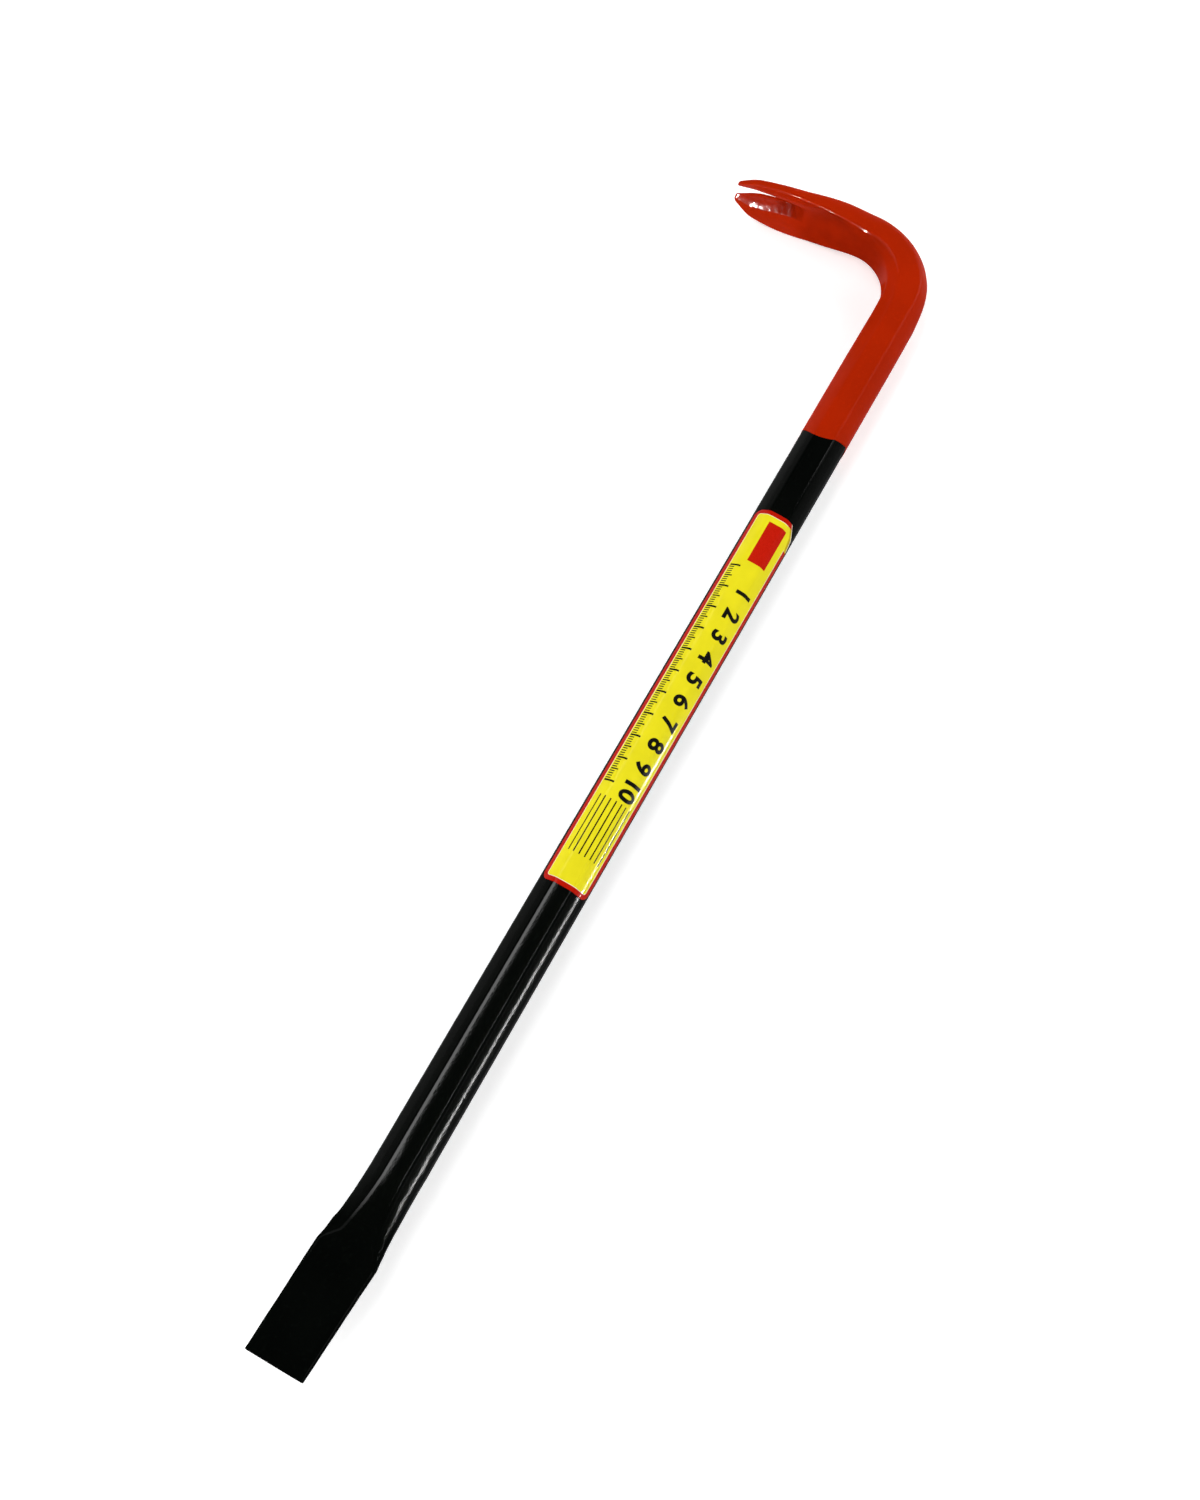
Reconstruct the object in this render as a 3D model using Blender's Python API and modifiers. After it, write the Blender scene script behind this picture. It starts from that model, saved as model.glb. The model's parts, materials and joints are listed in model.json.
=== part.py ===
"""Forged L-shaped pry bar: a nail claw on the bent end, a flat chisel on the straight end, and its label.

Metres, +Z up. The bar lies on its side with the chisel at -X, the claw reaching out to +Y, and the origin
on the ground under the middle of its box.
"""

import math

import bmesh
import bpy
from mathutils import Vector

MM = 0.001

# Octagonal bar stock
LENGTH = 500 * MM
STOCK = 19 * MM
STOCK_CORNER_RADIUS = 3 * MM

# Chisel blade: the edge, the shoulder where it is widest, and the neck that runs into the stock
BLADE_LENGTH = 41 * MM
BLADE_EDGE_WIDTH = 22.3 * MM
BLADE_EDGE_THICKNESS = 2.2 * MM
BLADE_SHOULDER_WIDTH = 22.9 * MM
BLADE_SHOULDER_THICKNESS = 12.4 * MM
BLADE_CORNER = 0.9 * MM
NECK_LENGTH = 35 * MM
FACET_RUN_OUT = 26 * MM
BLADE_LEAN = math.radians(3.2)

# Hook: a slow arc into the bend, the bend itself, a slow arc along the claw, and straight tines
ENTRY_LENGTH = 11.7 * MM
ENTRY_RADIUS = 100 * MM
BEND_RADIUS = 25.5 * MM
BEND_ANGLE = math.radians(92.3)
CLAW_LENGTH = 59.4 * MM
CLAW_CURVE_RADIUS = 188 * MM

# Sections of the hook: thickness in its plane, width across it, and corner cut
BEND_EARLY_THICKNESS = 17.9 * MM
BEND_LATE_THICKNESS = 15.3 * MM
BEND_WIDTH = 18.4 * MM
BEND_CORNER = 4.2 * MM
THROAT_THICKNESS = 11.6 * MM
THROAT_WIDTH = 19.1 * MM
THROAT_CORNER = 1.9 * MM
CLAW_ROOT_THICKNESS = 8 * MM
CLAW_ROOT_WIDTH = 23.2 * MM
CLAW_CORNER = 0.8 * MM
CLAW_MIDDLE_THICKNESS = 5 * MM
CLAW_MIDDLE_WIDTH = 25.4 * MM
TINE_THICKNESS = 4 * MM
TINE_SPREAD = 21.4 * MM
TIP_THICKNESS = 2 * MM
TIP_SPREAD = 11.3 * MM
TIP_CORNER = 0.5 * MM
CLAW_HOLLOW_RADIUS = 22.5 * MM
CLAW_CROWN_RADIUS = 22 * MM
CLAW_SETBACK_RADIUS = 56 * MM

# Where those sections lie, as shares of the bend and of the claw
EARLY_SHARE = 0.35
LATE_SHARE = 0.7
ROOT_SHARE = 0.3
MIDDLE_SHARE = 0.6
TINE_SHARE = 0.85

# How far a thin section cuts and rounds its corners, as shares of its half, of the cut and of what is left
CORNER_MOST = 0.6
CORNER_ROUNDING = 1.6
FLAT_ROUNDING = 1.6

# Nail slot: a V that runs into a slit, under a countersink for the nail's head
SLOT_LENGTH = 24.5 * MM
SLOT_MOUTH = 6.5 * MM
SLOT_KNEE = 2.2 * MM
SLOT_KNEE_PLACE = 12.5 * MM
SLOT_ROOT = 1.8 * MM
SINK_LENGTH = 30.1 * MM
SINK_MOUTH = 8 * MM
SINK_BELLY = 11.1 * MM
SINK_BELLY_PLACE = 9 * MM
SINK_ROOT = 8.9 * MM
SINK_TIP_DEPTH = 0.7 * MM
SINK_ROOT_DEPTH = 3.5 * MM
SINK_FLOOR_SHARE = 0.9
SINK_FLOOR_LEAST = 0.01
SINK_STEEPEST = 2
CUT_MARGIN = 3 * MM
CUT_LIFT = 0.4 * MM

# Label: a film wrapped over three facets
LABEL_START = 184 * MM
LABEL_LENGTH = 170.2 * MM
LABEL_HOOK_SIDE = 10.5 * MM
LABEL_FAR_SIDE = 11.8 * MM
LABEL_CORNER_RADIUS = 3 * MM
LABEL_FOLD_LENGTH = 10 * MM
LABEL_FOLD_WIDTH = 4.5 * MM
LABEL_FOLD_BOW = 1.2 * MM
LABEL_THICKNESS = 0.25 * MM
LABEL_CLEARANCE = 0.3 * MM

# How finely the curved stretches are divided
CORNER_STEPS = 3
FACE_STEPS = 6
BEND_STEPS = 18
CLAW_STEPS = 26
BLADE_STEPS = 14
NECK_STEPS = 10
SLOT_STEPS = 22
ROUND_STEPS = 8
ROUND_LAST_TURN = math.radians(80)

EIGHTH = math.radians(45)
SIXTEENTH = EIGHTH / 2
FACET = STOCK * math.tan(SIXTEENTH)
FACET_TRIM = STOCK_CORNER_RADIUS * math.tan(SIXTEENTH)
STOCK_CORNER = (STOCK - FACET) / 2
BEND_LENGTH = ENTRY_LENGTH + BEND_RADIUS * (BEND_ANGLE - ENTRY_LENGTH / ENTRY_RADIUS)
HOOK_LENGTH = BEND_LENGTH + CLAW_LENGTH
SLOT_CENTRE = SLOT_LENGTH - SLOT_ROOT / 2


def clear_scene():
    for thing in list(bpy.data.objects):
        bpy.data.objects.remove(thing, do_unlink=True)


def new_collection(name):
    collection = bpy.data.collections.new(name)
    bpy.context.scene.collection.children.link(collection)
    return collection


def new_material(name, colour, roughness, metallic):
    material = bpy.data.materials.new(name)
    material.use_nodes = True
    shader = material.node_tree.nodes["Principled BSDF"]
    shader.inputs["Base Color"].default_value = (*colour, 1.0)
    shader.inputs["Roughness"].default_value = roughness
    shader.inputs["Metallic"].default_value = metallic
    return material


def smooth_through(stations, at):
    """Read a value from (place, value) stations along a curve that never overshoots them."""
    if at <= stations[0][0]:
        return stations[0][1]
    if at >= stations[-1][0]:
        return stations[-1][1]
    slopes = [(b[1] - a[1]) / (b[0] - a[0]) for a, b in zip(stations, stations[1:])]
    tangents = [slopes[0]]
    for before, after in zip(slopes, slopes[1:]):
        same_way = before * after > 0
        tangents.append(2 * before * after / (before + after) if same_way else 0.0)
    tangents.append(slopes[-1])
    index = max(i for i in range(len(slopes)) if stations[i][0] <= at)
    (start, low), (end, high) = stations[index], stations[index + 1]
    span = end - start
    t = (at - start) / span
    return (
        low * (1 + 2 * t) * (1 - t) ** 2
        + high * t * t * (3 - 2 * t)
        + span * tangents[index] * t * (1 - t) ** 2
        - span * tangents[index + 1] * t * t * (1 - t)
    )


def evenly(start, end, steps):
    return [start + (end - start) * i / steps for i in range(steps + 1)]


def rounded_section(thickness, width, corner, hollow=0.0, crown=0.0, setback=0.0):
    """Corner-cut rectangle as (inward, across) points, hollowed inside and crowned outside.

    The inner face, towards the inside of the bend, is at +thickness / 2. The curvature setback sets the
    middle back from the edges.
    """
    half_in = thickness / 2
    half_across = width / 2
    least_half = min(half_in, half_across)
    corner = min(corner, CORNER_MOST * least_half)
    radius = min(STOCK_CORNER_RADIUS, CORNER_ROUNDING * corner, FLAT_ROUNDING * (least_half - corner))
    quarter = [(half_in, half_across - corner), (half_in - corner, half_across)]
    mirrored = [(-a, b) for a, b in reversed(quarter)]
    corners = quarter + mirrored + [(-a, -b) for a, b in quarter + mirrored]
    arcs = []
    for index, (inward, across) in enumerate(corners):
        facing = index * EIGHTH
        middle = facing + SIXTEENTH
        reach = radius / math.cos(SIXTEENTH)
        centre = (inward - reach * math.cos(middle), across - reach * math.sin(middle))
        for angle in evenly(facing, facing + EIGHTH, CORNER_STEPS):
            arcs.append((centre[0] + radius * math.cos(angle), centre[1] + radius * math.sin(angle)))
    half_turn = 4 * (CORNER_STEPS + 1)
    outer = face_points(arcs[half_turn - 1], arcs[half_turn])
    inner = face_points(arcs[-1], arcs[0])
    outline = arcs[:half_turn] + outer + arcs[half_turn:] + inner
    points = []
    for inward, across in outline:
        share = (inward + half_in) / thickness
        bow = ((hollow * share + crown * (1 - share)) * across**2 - setback * half_across**2) / 2
        points.append((inward + bow, across))
    return points


def face_points(start, end):
    """Points between two corners of a section, so that the face can bow."""
    shares = evenly(0, 1, FACE_STEPS)[1:-1]
    return [(start[0] + (end[0] - start[0]) * s, start[1] + (end[1] - start[1]) * s) for s in shares]


def follow_arc(point, heading, radius, length):
    """The point and heading after length along an arc that turns left."""
    turned = heading + length / radius
    return (
        (
            point[0] + radius * (math.sin(turned) - math.sin(heading)),
            point[1] - radius * (math.cos(turned) - math.cos(heading)),
        ),
        turned,
    )


def hook_place(along):
    """Point and heading in the hook's plane, at a distance along the hook from where it starts to bend."""
    point, heading = follow_arc((0.0, 0.0), 0.0, ENTRY_RADIUS, min(along, ENTRY_LENGTH))
    if along > ENTRY_LENGTH:
        bend = min(along, BEND_LENGTH) - ENTRY_LENGTH
        point, heading = follow_arc(point, heading, BEND_RADIUS, bend)
    if along > BEND_LENGTH:
        curved = min(along - BEND_LENGTH, CLAW_LENGTH / 2)
        point, heading = follow_arc(point, heading, CLAW_CURVE_RADIUS, curved)
        straight = along - BEND_LENGTH - curved
        point = (point[0] + straight * math.cos(heading), point[1] + straight * math.sin(heading))
    return point, heading


def on_hook(along, inward, across):
    (x, y), heading = hook_place(along)
    return Vector((x - math.sin(heading) * inward, y + math.cos(heading) * inward, across))


def hook_value(along, stock, early, late, throat, root, middle, tine, tip):
    """One size of the hook's section, read along the hook from the stock to the tips."""
    stations = (
        (-STOCK, stock),
        (0.0, stock),
        (EARLY_SHARE * BEND_LENGTH, early),
        (LATE_SHARE * BEND_LENGTH, late),
        (BEND_LENGTH, throat),
        (BEND_LENGTH + ROOT_SHARE * CLAW_LENGTH, root),
        (BEND_LENGTH + MIDDLE_SHARE * CLAW_LENGTH, middle),
        (BEND_LENGTH + TINE_SHARE * CLAW_LENGTH, tine),
        (HOOK_LENGTH, tip),
    )
    return smooth_through(stations, along)


def hook_thickness(along):
    return hook_value(
        along,
        STOCK,
        BEND_EARLY_THICKNESS,
        BEND_LATE_THICKNESS,
        THROAT_THICKNESS,
        CLAW_ROOT_THICKNESS,
        CLAW_MIDDLE_THICKNESS,
        TINE_THICKNESS,
        TIP_THICKNESS,
    )


def hook_width(along):
    return hook_value(
        along,
        STOCK,
        BEND_WIDTH,
        BEND_WIDTH,
        THROAT_WIDTH,
        CLAW_ROOT_WIDTH,
        CLAW_MIDDLE_WIDTH,
        TINE_SPREAD,
        TIP_SPREAD,
    )


def hook_corner(along):
    return hook_value(
        along,
        STOCK_CORNER,
        BEND_CORNER,
        (BEND_CORNER + THROAT_CORNER) / 2,
        THROAT_CORNER,
        CLAW_CORNER,
        CLAW_CORNER,
        CLAW_CORNER,
        TIP_CORNER,
    )


def dish_share(along):
    """How much of the claw's hollow is there: none in the bend, all of it from the claw's middle on."""
    return smooth_through(((BEND_LENGTH, 0.0), (BEND_LENGTH + CLAW_LENGTH / 2, 1.0)), along)


def hook_ring(along):
    share = dish_share(along)
    outline = rounded_section(
        hook_thickness(along),
        hook_width(along),
        hook_corner(along),
        share / CLAW_HOLLOW_RADIUS,
        share / CLAW_CROWN_RADIUS,
        share / CLAW_SETBACK_RADIUS,
    )
    return [on_hook(along, inward, across) for inward, across in outline]


def blade_ring(x):
    """Section of the blade, its neck or the shaft, x from the chisel's edge. The blade is wide along Y."""
    neck_end = BLADE_LENGTH + NECK_LENGTH
    to_stock = min(NECK_LENGTH, max(0.0, neck_end - x))
    if x < BLADE_LENGTH:
        width = BLADE_EDGE_WIDTH + (BLADE_SHOULDER_WIDTH - BLADE_EDGE_WIDTH) * x / BLADE_LENGTH
    else:
        width = STOCK + (BLADE_SHOULDER_WIDTH - STOCK) * (to_stock / NECK_LENGTH) ** 3
    thickness = smooth_through(
        (
            (0.0, BLADE_EDGE_THICKNESS),
            (BLADE_LENGTH, BLADE_SHOULDER_THICKNESS),
            (neck_end, STOCK),
            (neck_end + NECK_LENGTH, STOCK),
        ),
        x,
    )
    corner = smooth_through(
        (
            (0.0, BLADE_CORNER),
            (BLADE_LENGTH, BLADE_CORNER),
            (BLADE_LENGTH + FACET_RUN_OUT, STOCK_CORNER),
            (neck_end + FACET_RUN_OUT, STOCK_CORNER),
        ),
        x,
    )
    leaning = to_stock**2 / (2 * NECK_LENGTH) + max(0.0, BLADE_LENGTH - x)
    sideways = math.tan(BLADE_LEAN) * leaning
    outline = rounded_section(width, thickness, corner)
    return [Vector((x, sideways + inward, across)) for inward, across in outline]


def loft(name, rings, collection):
    """Closed solid through rings of as many points each, with a flat cap at both ends."""
    mesh = bmesh.new()
    loops = [[mesh.verts.new(point) for point in ring] for ring in rings]
    count = len(rings[0])
    for near, far in zip(loops, loops[1:]):
        for i in range(count):
            mesh.faces.new((near[i], near[(i + 1) % count], far[(i + 1) % count], far[i]))
    mesh.faces.new(loops[0])
    mesh.faces.new(loops[-1])
    bmesh.ops.recalc_face_normals(mesh, faces=mesh.faces)
    return mesh_object(name, mesh, collection)


def mesh_object(name, mesh, collection):
    data = bpy.data.meshes.new(name)
    mesh.to_mesh(data)
    mesh.free()
    thing = bpy.data.objects.new(name, data)
    collection.objects.link(thing)
    return thing


def shade_round(thing, angle_degrees):
    thing.data.shade_smooth()
    thing.data.set_sharp_from_angle(angle=math.radians(angle_degrees))


def cut(target, cutter):
    cutter.display_type = "WIRE"
    cutter.hide_render = True
    modifier = target.modifiers.new(cutter.name, "BOOLEAN")
    modifier.operation = "DIFFERENCE"
    modifier.solver = "EXACT"
    modifier.object = cutter


def slot_half(back):
    """Half width of the nail slot at a distance back from the tips."""
    stations = ((0.0, SLOT_MOUTH), (SLOT_KNEE_PLACE, SLOT_KNEE), (SLOT_CENTRE, SLOT_ROOT))
    return smooth_through(stations, back) / 2


def sink_half(back):
    """Half width of the countersink's rim, before its round end."""
    stations = ((0.0, SINK_MOUTH), (SINK_BELLY_PLACE, SINK_BELLY), (SLOT_CENTRE, SINK_ROOT))
    return smooth_through(stations, back) / 2


def sink_depth(back):
    share = min(1.0, max(0.0, back / SLOT_CENTRE))
    return SINK_TIP_DEPTH + (SINK_ROOT_DEPTH - SINK_TIP_DEPTH) * share


def cutter_steps(reach):
    """Distances back from the tips and shares of the round end, which reaches past the root's centre."""
    straight = [(back, 0.0) for back in evenly(-CUT_MARGIN, SLOT_CENTRE, SLOT_STEPS)]
    shares = [math.sin(turn) for turn in evenly(0, ROUND_LAST_TURN, ROUND_STEPS)[1:]]
    return straight + [(SLOT_CENTRE + reach * share, share) for share in shares]


def slot_cutter(collection):
    rings = []
    for back, share in cutter_steps(SLOT_ROOT / 2):
        along = HOOK_LENGTH - back
        half = slot_half(back) * math.sqrt(1 - share**2)
        reach = hook_thickness(along) / 2 + CUT_MARGIN
        outline = [(-reach, -half), (reach, -half), (reach, half), (-reach, half)]
        rings.append([on_hook(along, inward, across) for inward, across in outline])
    return loft("slot_cutter", rings, collection)


def sink_cutter(collection):
    """Trapezoid sections under the inner face, closed at the back by part of a cone."""
    rings = []
    for back, share in cutter_steps(SINK_LENGTH - SLOT_CENTRE):
        along = HOOK_LENGTH - back
        rim = sink_half(back)
        floor = SINK_FLOOR_SHARE * slot_half(back)
        floor_share = floor / rim
        depth = sink_depth(back) * min(1.0, (1 - share) / (1 - floor_share))
        floor *= math.sqrt(max(SINK_FLOOR_LEAST, 1 - (share / floor_share) ** 2))
        rim *= math.sqrt(1 - share**2)
        hollow = rim**2 / CLAW_HOLLOW_RADIUS - (hook_width(along) / 2) ** 2 / CLAW_SETBACK_RADIUS
        face = hook_thickness(along) / 2 + dish_share(along) * hollow / 2
        top = rim + CUT_LIFT * min(SINK_STEEPEST, (rim - floor) / depth)
        half_outline = [(face - depth, floor), (face + CUT_LIFT, top), (face + CUT_MARGIN, top)]
        outline = half_outline + [(inward, -across) for inward, across in reversed(half_outline)]
        rings.append([on_hook(along, inward, across) for inward, across in outline])
    return loft("sink_cutter", rings, collection)


def make_forged_bar(collection, cutters):
    blade = evenly(0, BLADE_LENGTH, BLADE_STEPS)
    neck = evenly(BLADE_LENGTH, BLADE_LENGTH + NECK_LENGTH, NECK_STEPS)[1:]
    bend = evenly(0, BEND_LENGTH, BEND_STEPS)
    claw = evenly(BEND_LENGTH, HOOK_LENGTH, CLAW_STEPS)[1:]
    hook_rings = [hook_ring(along) for along in bend + claw]
    hook_start = Vector((LENGTH - max(point.x for ring in hook_rings for point in ring), 0, 0))
    rings = [blade_ring(x) for x in blade + neck]
    rings += [[point + hook_start for point in ring] for ring in hook_rings]
    bar = loft("forged_bar", rings, collection)
    for cutter in (slot_cutter(cutters), sink_cutter(cutters)):
        cutter.location = hook_start
        cut(bar, cutter)
    shade_round(bar, 30)
    bar.data.materials.append(new_material("black_paint", (0.012, 0.013, 0.012), 0.28, 0.0))
    return bar


def arc_points(centre, radius, start_degrees):
    """A quarter turn of an outline's rounded corner."""
    turns = evenly(math.radians(start_degrees), math.radians(start_degrees + 90), ROUND_STEPS)
    return [(centre[0] + radius * math.cos(turn), centre[1] + radius * math.sin(turn)) for turn in turns]


def label_outline():
    """Flat outline of the label as (along, girth) points, with girth counted round from the top facet."""
    start = LABEL_START
    end = LABEL_START + LABEL_LENGTH
    near = LABEL_HOOK_SIDE
    far = -LABEL_FAR_SIDE
    radius = LABEL_CORNER_RADIUS
    tucked_corner = [
        (end - LABEL_FOLD_LENGTH, far),
        (end - LABEL_FOLD_LENGTH / 2, far + LABEL_FOLD_WIDTH / 2 - LABEL_FOLD_BOW),
        (end, far + LABEL_FOLD_WIDTH),
    ]
    return (
        arc_points((start + radius, far + radius), radius, 180)
        + tucked_corner
        + arc_points((end - radius, near - radius), radius, 0)
        + arc_points((start + radius, near - radius), radius, 90)
    )


def round_the_stock(girth, clearance):
    """Place across the bar of a distance round it from the middle of the top facet, positive towards +Y."""
    steps = math.floor(abs(girth) / FACET + 0.5)
    facing = steps * EIGHTH
    past = abs(girth) - steps * FACET
    flat_half = FACET / 2 - FACET_TRIM
    if abs(past) > flat_half:
        bend = math.copysign((abs(past) - flat_half) / FACET_TRIM * SIXTEENTH, past)
        reach = STOCK_CORNER_RADIUS + clearance
        out = STOCK / 2 - STOCK_CORNER_RADIUS + reach * math.cos(bend)
        shift = math.copysign(flat_half, past) + reach * math.sin(bend)
    else:
        out = STOCK / 2 + clearance
        shift = past
    y = out * math.sin(facing) + shift * math.cos(facing)
    z = out * math.cos(facing) - shift * math.sin(facing)
    return math.copysign(y, girth), z


def score(film, girth):
    """Divide the flat film along a line at this distance round the bar."""
    everything = film.verts[:] + film.edges[:] + film.faces[:]
    bmesh.ops.bisect_plane(film, geom=everything, plane_co=(0, girth, 0), plane_no=(0, 1, 0))


def make_label(collection):
    """A flat face with the label's outline, scored where the stock turns, wrapped on and thickened."""
    film = bmesh.new()
    film.faces.new([film.verts.new((along, girth, 0.0)) for along, girth in label_outline()])
    for corner in (-3, -1, 1, 3):
        for share in evenly(-1, 1, CORNER_STEPS + 1):
            score(film, corner * FACET / 2 + share * FACET_TRIM)
    for vert in film.verts:
        y, z = round_the_stock(vert.co.y, LABEL_CLEARANCE)
        vert.co = (vert.co.x, y, z)
    bmesh.ops.recalc_face_normals(film, faces=film.faces)
    if sum(face.normal.z for face in film.faces) < 0:
        bmesh.ops.reverse_faces(film, faces=film.faces)
    label = mesh_object("label", film, collection)
    wall = label.modifiers.new("film", "SOLIDIFY")
    wall.thickness = LABEL_THICKNESS
    wall.offset = 1.0
    wall.use_even_offset = True
    label.data.materials.append(new_material("label_film", (0.78, 0.7, 0.03), 0.3, 0.0))
    return label


def stand_on_ground(parts):
    """Carry the parts on an empty that puts the ground under the lowest one and the origin mid-box."""
    bpy.context.view_layer.update()
    depsgraph = bpy.context.evaluated_depsgraph_get()
    corners = [Vector(corner) for part in parts for corner in part.evaluated_get(depsgraph).bound_box]
    low = [min(corner[i] for corner in corners) for i in range(3)]
    high = [max(corner[i] for corner in corners) for i in range(3)]
    carrier = bpy.data.objects.new("pry_bar_origin", None)
    bpy.context.scene.collection.objects.link(carrier)
    carrier.location = (-(low[0] + high[0]) / 2, -(low[1] + high[1]) / 2, -low[2])
    for part in parts:
        part.parent = carrier


def main():
    clear_scene()
    parts = new_collection("pry_bar")
    cutters = new_collection("pry_bar_cutters")
    bar = make_forged_bar(parts, cutters)
    label = make_label(parts)
    stand_on_ground([bar, label])
    for cutter in cutters.objects:
        cutter.parent = bar.parent


main()
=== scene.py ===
"""Dresses the forged pry bar: black and orange paint over the forging, the wrapped label, and a studio.

Everything is in metres in the frame of the CAD part. Sizes that the forging shares with the part's own source
are repeated here by the same names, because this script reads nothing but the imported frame.
"""

import json
import math

import bmesh
import bpy
from bpy.props import FloatProperty, FloatVectorProperty, IntProperty, PointerProperty
from mathutils import Matrix, Vector, noise


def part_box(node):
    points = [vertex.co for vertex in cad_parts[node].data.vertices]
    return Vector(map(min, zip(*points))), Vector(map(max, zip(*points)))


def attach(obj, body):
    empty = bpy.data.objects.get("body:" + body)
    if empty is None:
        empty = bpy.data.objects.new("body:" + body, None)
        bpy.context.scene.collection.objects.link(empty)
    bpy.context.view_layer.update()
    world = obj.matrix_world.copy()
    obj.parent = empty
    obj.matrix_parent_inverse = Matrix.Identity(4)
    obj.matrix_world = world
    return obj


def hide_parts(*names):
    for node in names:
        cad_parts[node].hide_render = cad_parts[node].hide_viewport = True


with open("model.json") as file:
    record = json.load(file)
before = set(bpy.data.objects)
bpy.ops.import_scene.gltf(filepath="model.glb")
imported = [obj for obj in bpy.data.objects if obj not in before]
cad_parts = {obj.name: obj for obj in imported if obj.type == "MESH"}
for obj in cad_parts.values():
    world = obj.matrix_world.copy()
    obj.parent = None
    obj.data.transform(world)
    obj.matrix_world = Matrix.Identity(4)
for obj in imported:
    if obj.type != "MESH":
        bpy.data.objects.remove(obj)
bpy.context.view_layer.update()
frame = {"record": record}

bl_info = {
    "name": "Forged pry bar",
    "version": (1, 0, 0),
    "blender": (4, 5, 0),
    "location": "3D View > Sidebar > Pry bar",
    "description": "Builds the painted forging, the label and the studio around the packed pry bar",
    "category": "Object",
}

MM = 0.001
ROOT = "root"

# Forging, as in the part's source
LENGTH = 500 * MM
STOCK = 19 * MM
STOCK_CORNER_RADIUS = 3 * MM
BLADE_LENGTH = 41 * MM
BLADE_EDGE_WIDTH = 22.3 * MM
BLADE_EDGE_THICKNESS = 2.2 * MM
BLADE_SHOULDER_WIDTH = 22.9 * MM
BLADE_SHOULDER_THICKNESS = 12.4 * MM
BLADE_CORNER = 0.9 * MM
NECK_LENGTH = 35 * MM
FACET_RUN_OUT = 26 * MM
BLADE_LEAN = math.radians(3.2)
ENTRY_LENGTH = 11.7 * MM
ENTRY_RADIUS = 100 * MM
BEND_RADIUS = 25.5 * MM
BEND_ANGLE = math.radians(92.3)
CLAW_LENGTH = 59.4 * MM
CLAW_CURVE_RADIUS = 188 * MM
BEND_EARLY_THICKNESS = 17.9 * MM
BEND_LATE_THICKNESS = 15.3 * MM
BEND_WIDTH = 18.4 * MM
BEND_CORNER = 4.2 * MM
THROAT_THICKNESS = 11.6 * MM
THROAT_WIDTH = 19.1 * MM
THROAT_CORNER = 1.9 * MM
CLAW_ROOT_THICKNESS = 8 * MM
CLAW_ROOT_WIDTH = 23.2 * MM
CLAW_CORNER = 0.8 * MM
CLAW_MIDDLE_THICKNESS = 5 * MM
CLAW_MIDDLE_WIDTH = 25.4 * MM
TINE_THICKNESS = 4 * MM
TINE_SPREAD = 21.4 * MM
TIP_THICKNESS = 2 * MM
TIP_SPREAD = 11.3 * MM
TIP_CORNER = 0.5 * MM
CLAW_HOLLOW_RADIUS = 22.5 * MM
CLAW_CROWN_RADIUS = 22 * MM
CLAW_SETBACK_RADIUS = 56 * MM
EARLY_SHARE = 0.35
LATE_SHARE = 0.7
ROOT_SHARE = 0.3
MIDDLE_SHARE = 0.6
TINE_SHARE = 0.85
SLOT_LENGTH = 24.5 * MM
SLOT_MOUTH = 6.5 * MM
SLOT_KNEE = 2.2 * MM
SLOT_KNEE_PLACE = 12.5 * MM
SLOT_ROOT = 1.8 * MM
SINK_LENGTH = 30.1 * MM
SINK_MOUTH = 8 * MM
SINK_BELLY = 11.1 * MM
SINK_BELLY_PLACE = 9 * MM
SINK_ROOT = 8.9 * MM
SINK_FLOOR_SHARE = 0.9
CORNER_MOST = 0.6
CORNER_ROUNDING = 1.6
FLAT_ROUNDING = 1.6

# Label, as in the part's source
LABEL_START = 184 * MM
LABEL_LENGTH = 170.2 * MM
LABEL_HOOK_SIDE = 10.5 * MM
LABEL_FAR_SIDE = 11.8 * MM
LABEL_CORNER_RADIUS = 3 * MM
LABEL_FOLD_LENGTH = 10 * MM
LABEL_FOLD_WIDTH = 4.5 * MM
LABEL_FOLD_BOW = 1.2 * MM

EIGHTH = math.radians(45)
SIXTEENTH = EIGHTH / 2
FACET = STOCK * math.tan(SIXTEENTH)
FACET_TRIM = STOCK_CORNER_RADIUS * math.tan(SIXTEENTH)
FLAT_HALF = FACET / 2 - FACET_TRIM
STOCK_CORNER = (STOCK - FACET) / 2
BEND_LENGTH = ENTRY_LENGTH + BEND_RADIUS * (BEND_ANGLE - ENTRY_LENGTH / ENTRY_RADIUS)
HOOK_LENGTH = BEND_LENGTH + CLAW_LENGTH
SLOT_CENTRE = SLOT_LENGTH - SLOT_ROOT / 2

# The hook's section from stock to tips: where it is given, its thickness, its width and its corner cut
HOOK_SECTIONS = (
    (-STOCK, STOCK, STOCK, STOCK_CORNER),
    (0.0, STOCK, STOCK, STOCK_CORNER),
    (EARLY_SHARE * BEND_LENGTH, BEND_EARLY_THICKNESS, BEND_WIDTH, BEND_CORNER),
    (LATE_SHARE * BEND_LENGTH, BEND_LATE_THICKNESS, BEND_WIDTH, (BEND_CORNER + THROAT_CORNER) / 2),
    (BEND_LENGTH, THROAT_THICKNESS, THROAT_WIDTH, THROAT_CORNER),
    (BEND_LENGTH + ROOT_SHARE * CLAW_LENGTH, CLAW_ROOT_THICKNESS, CLAW_ROOT_WIDTH, CLAW_CORNER),
    (BEND_LENGTH + MIDDLE_SHARE * CLAW_LENGTH, CLAW_MIDDLE_THICKNESS, CLAW_MIDDLE_WIDTH, CLAW_CORNER),
    (BEND_LENGTH + TINE_SHARE * CLAW_LENGTH, TINE_THICKNESS, TINE_SPREAD, CLAW_CORNER),
    (HOOK_LENGTH, TIP_THICKNESS, TIP_SPREAD, TIP_CORNER),
)

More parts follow.
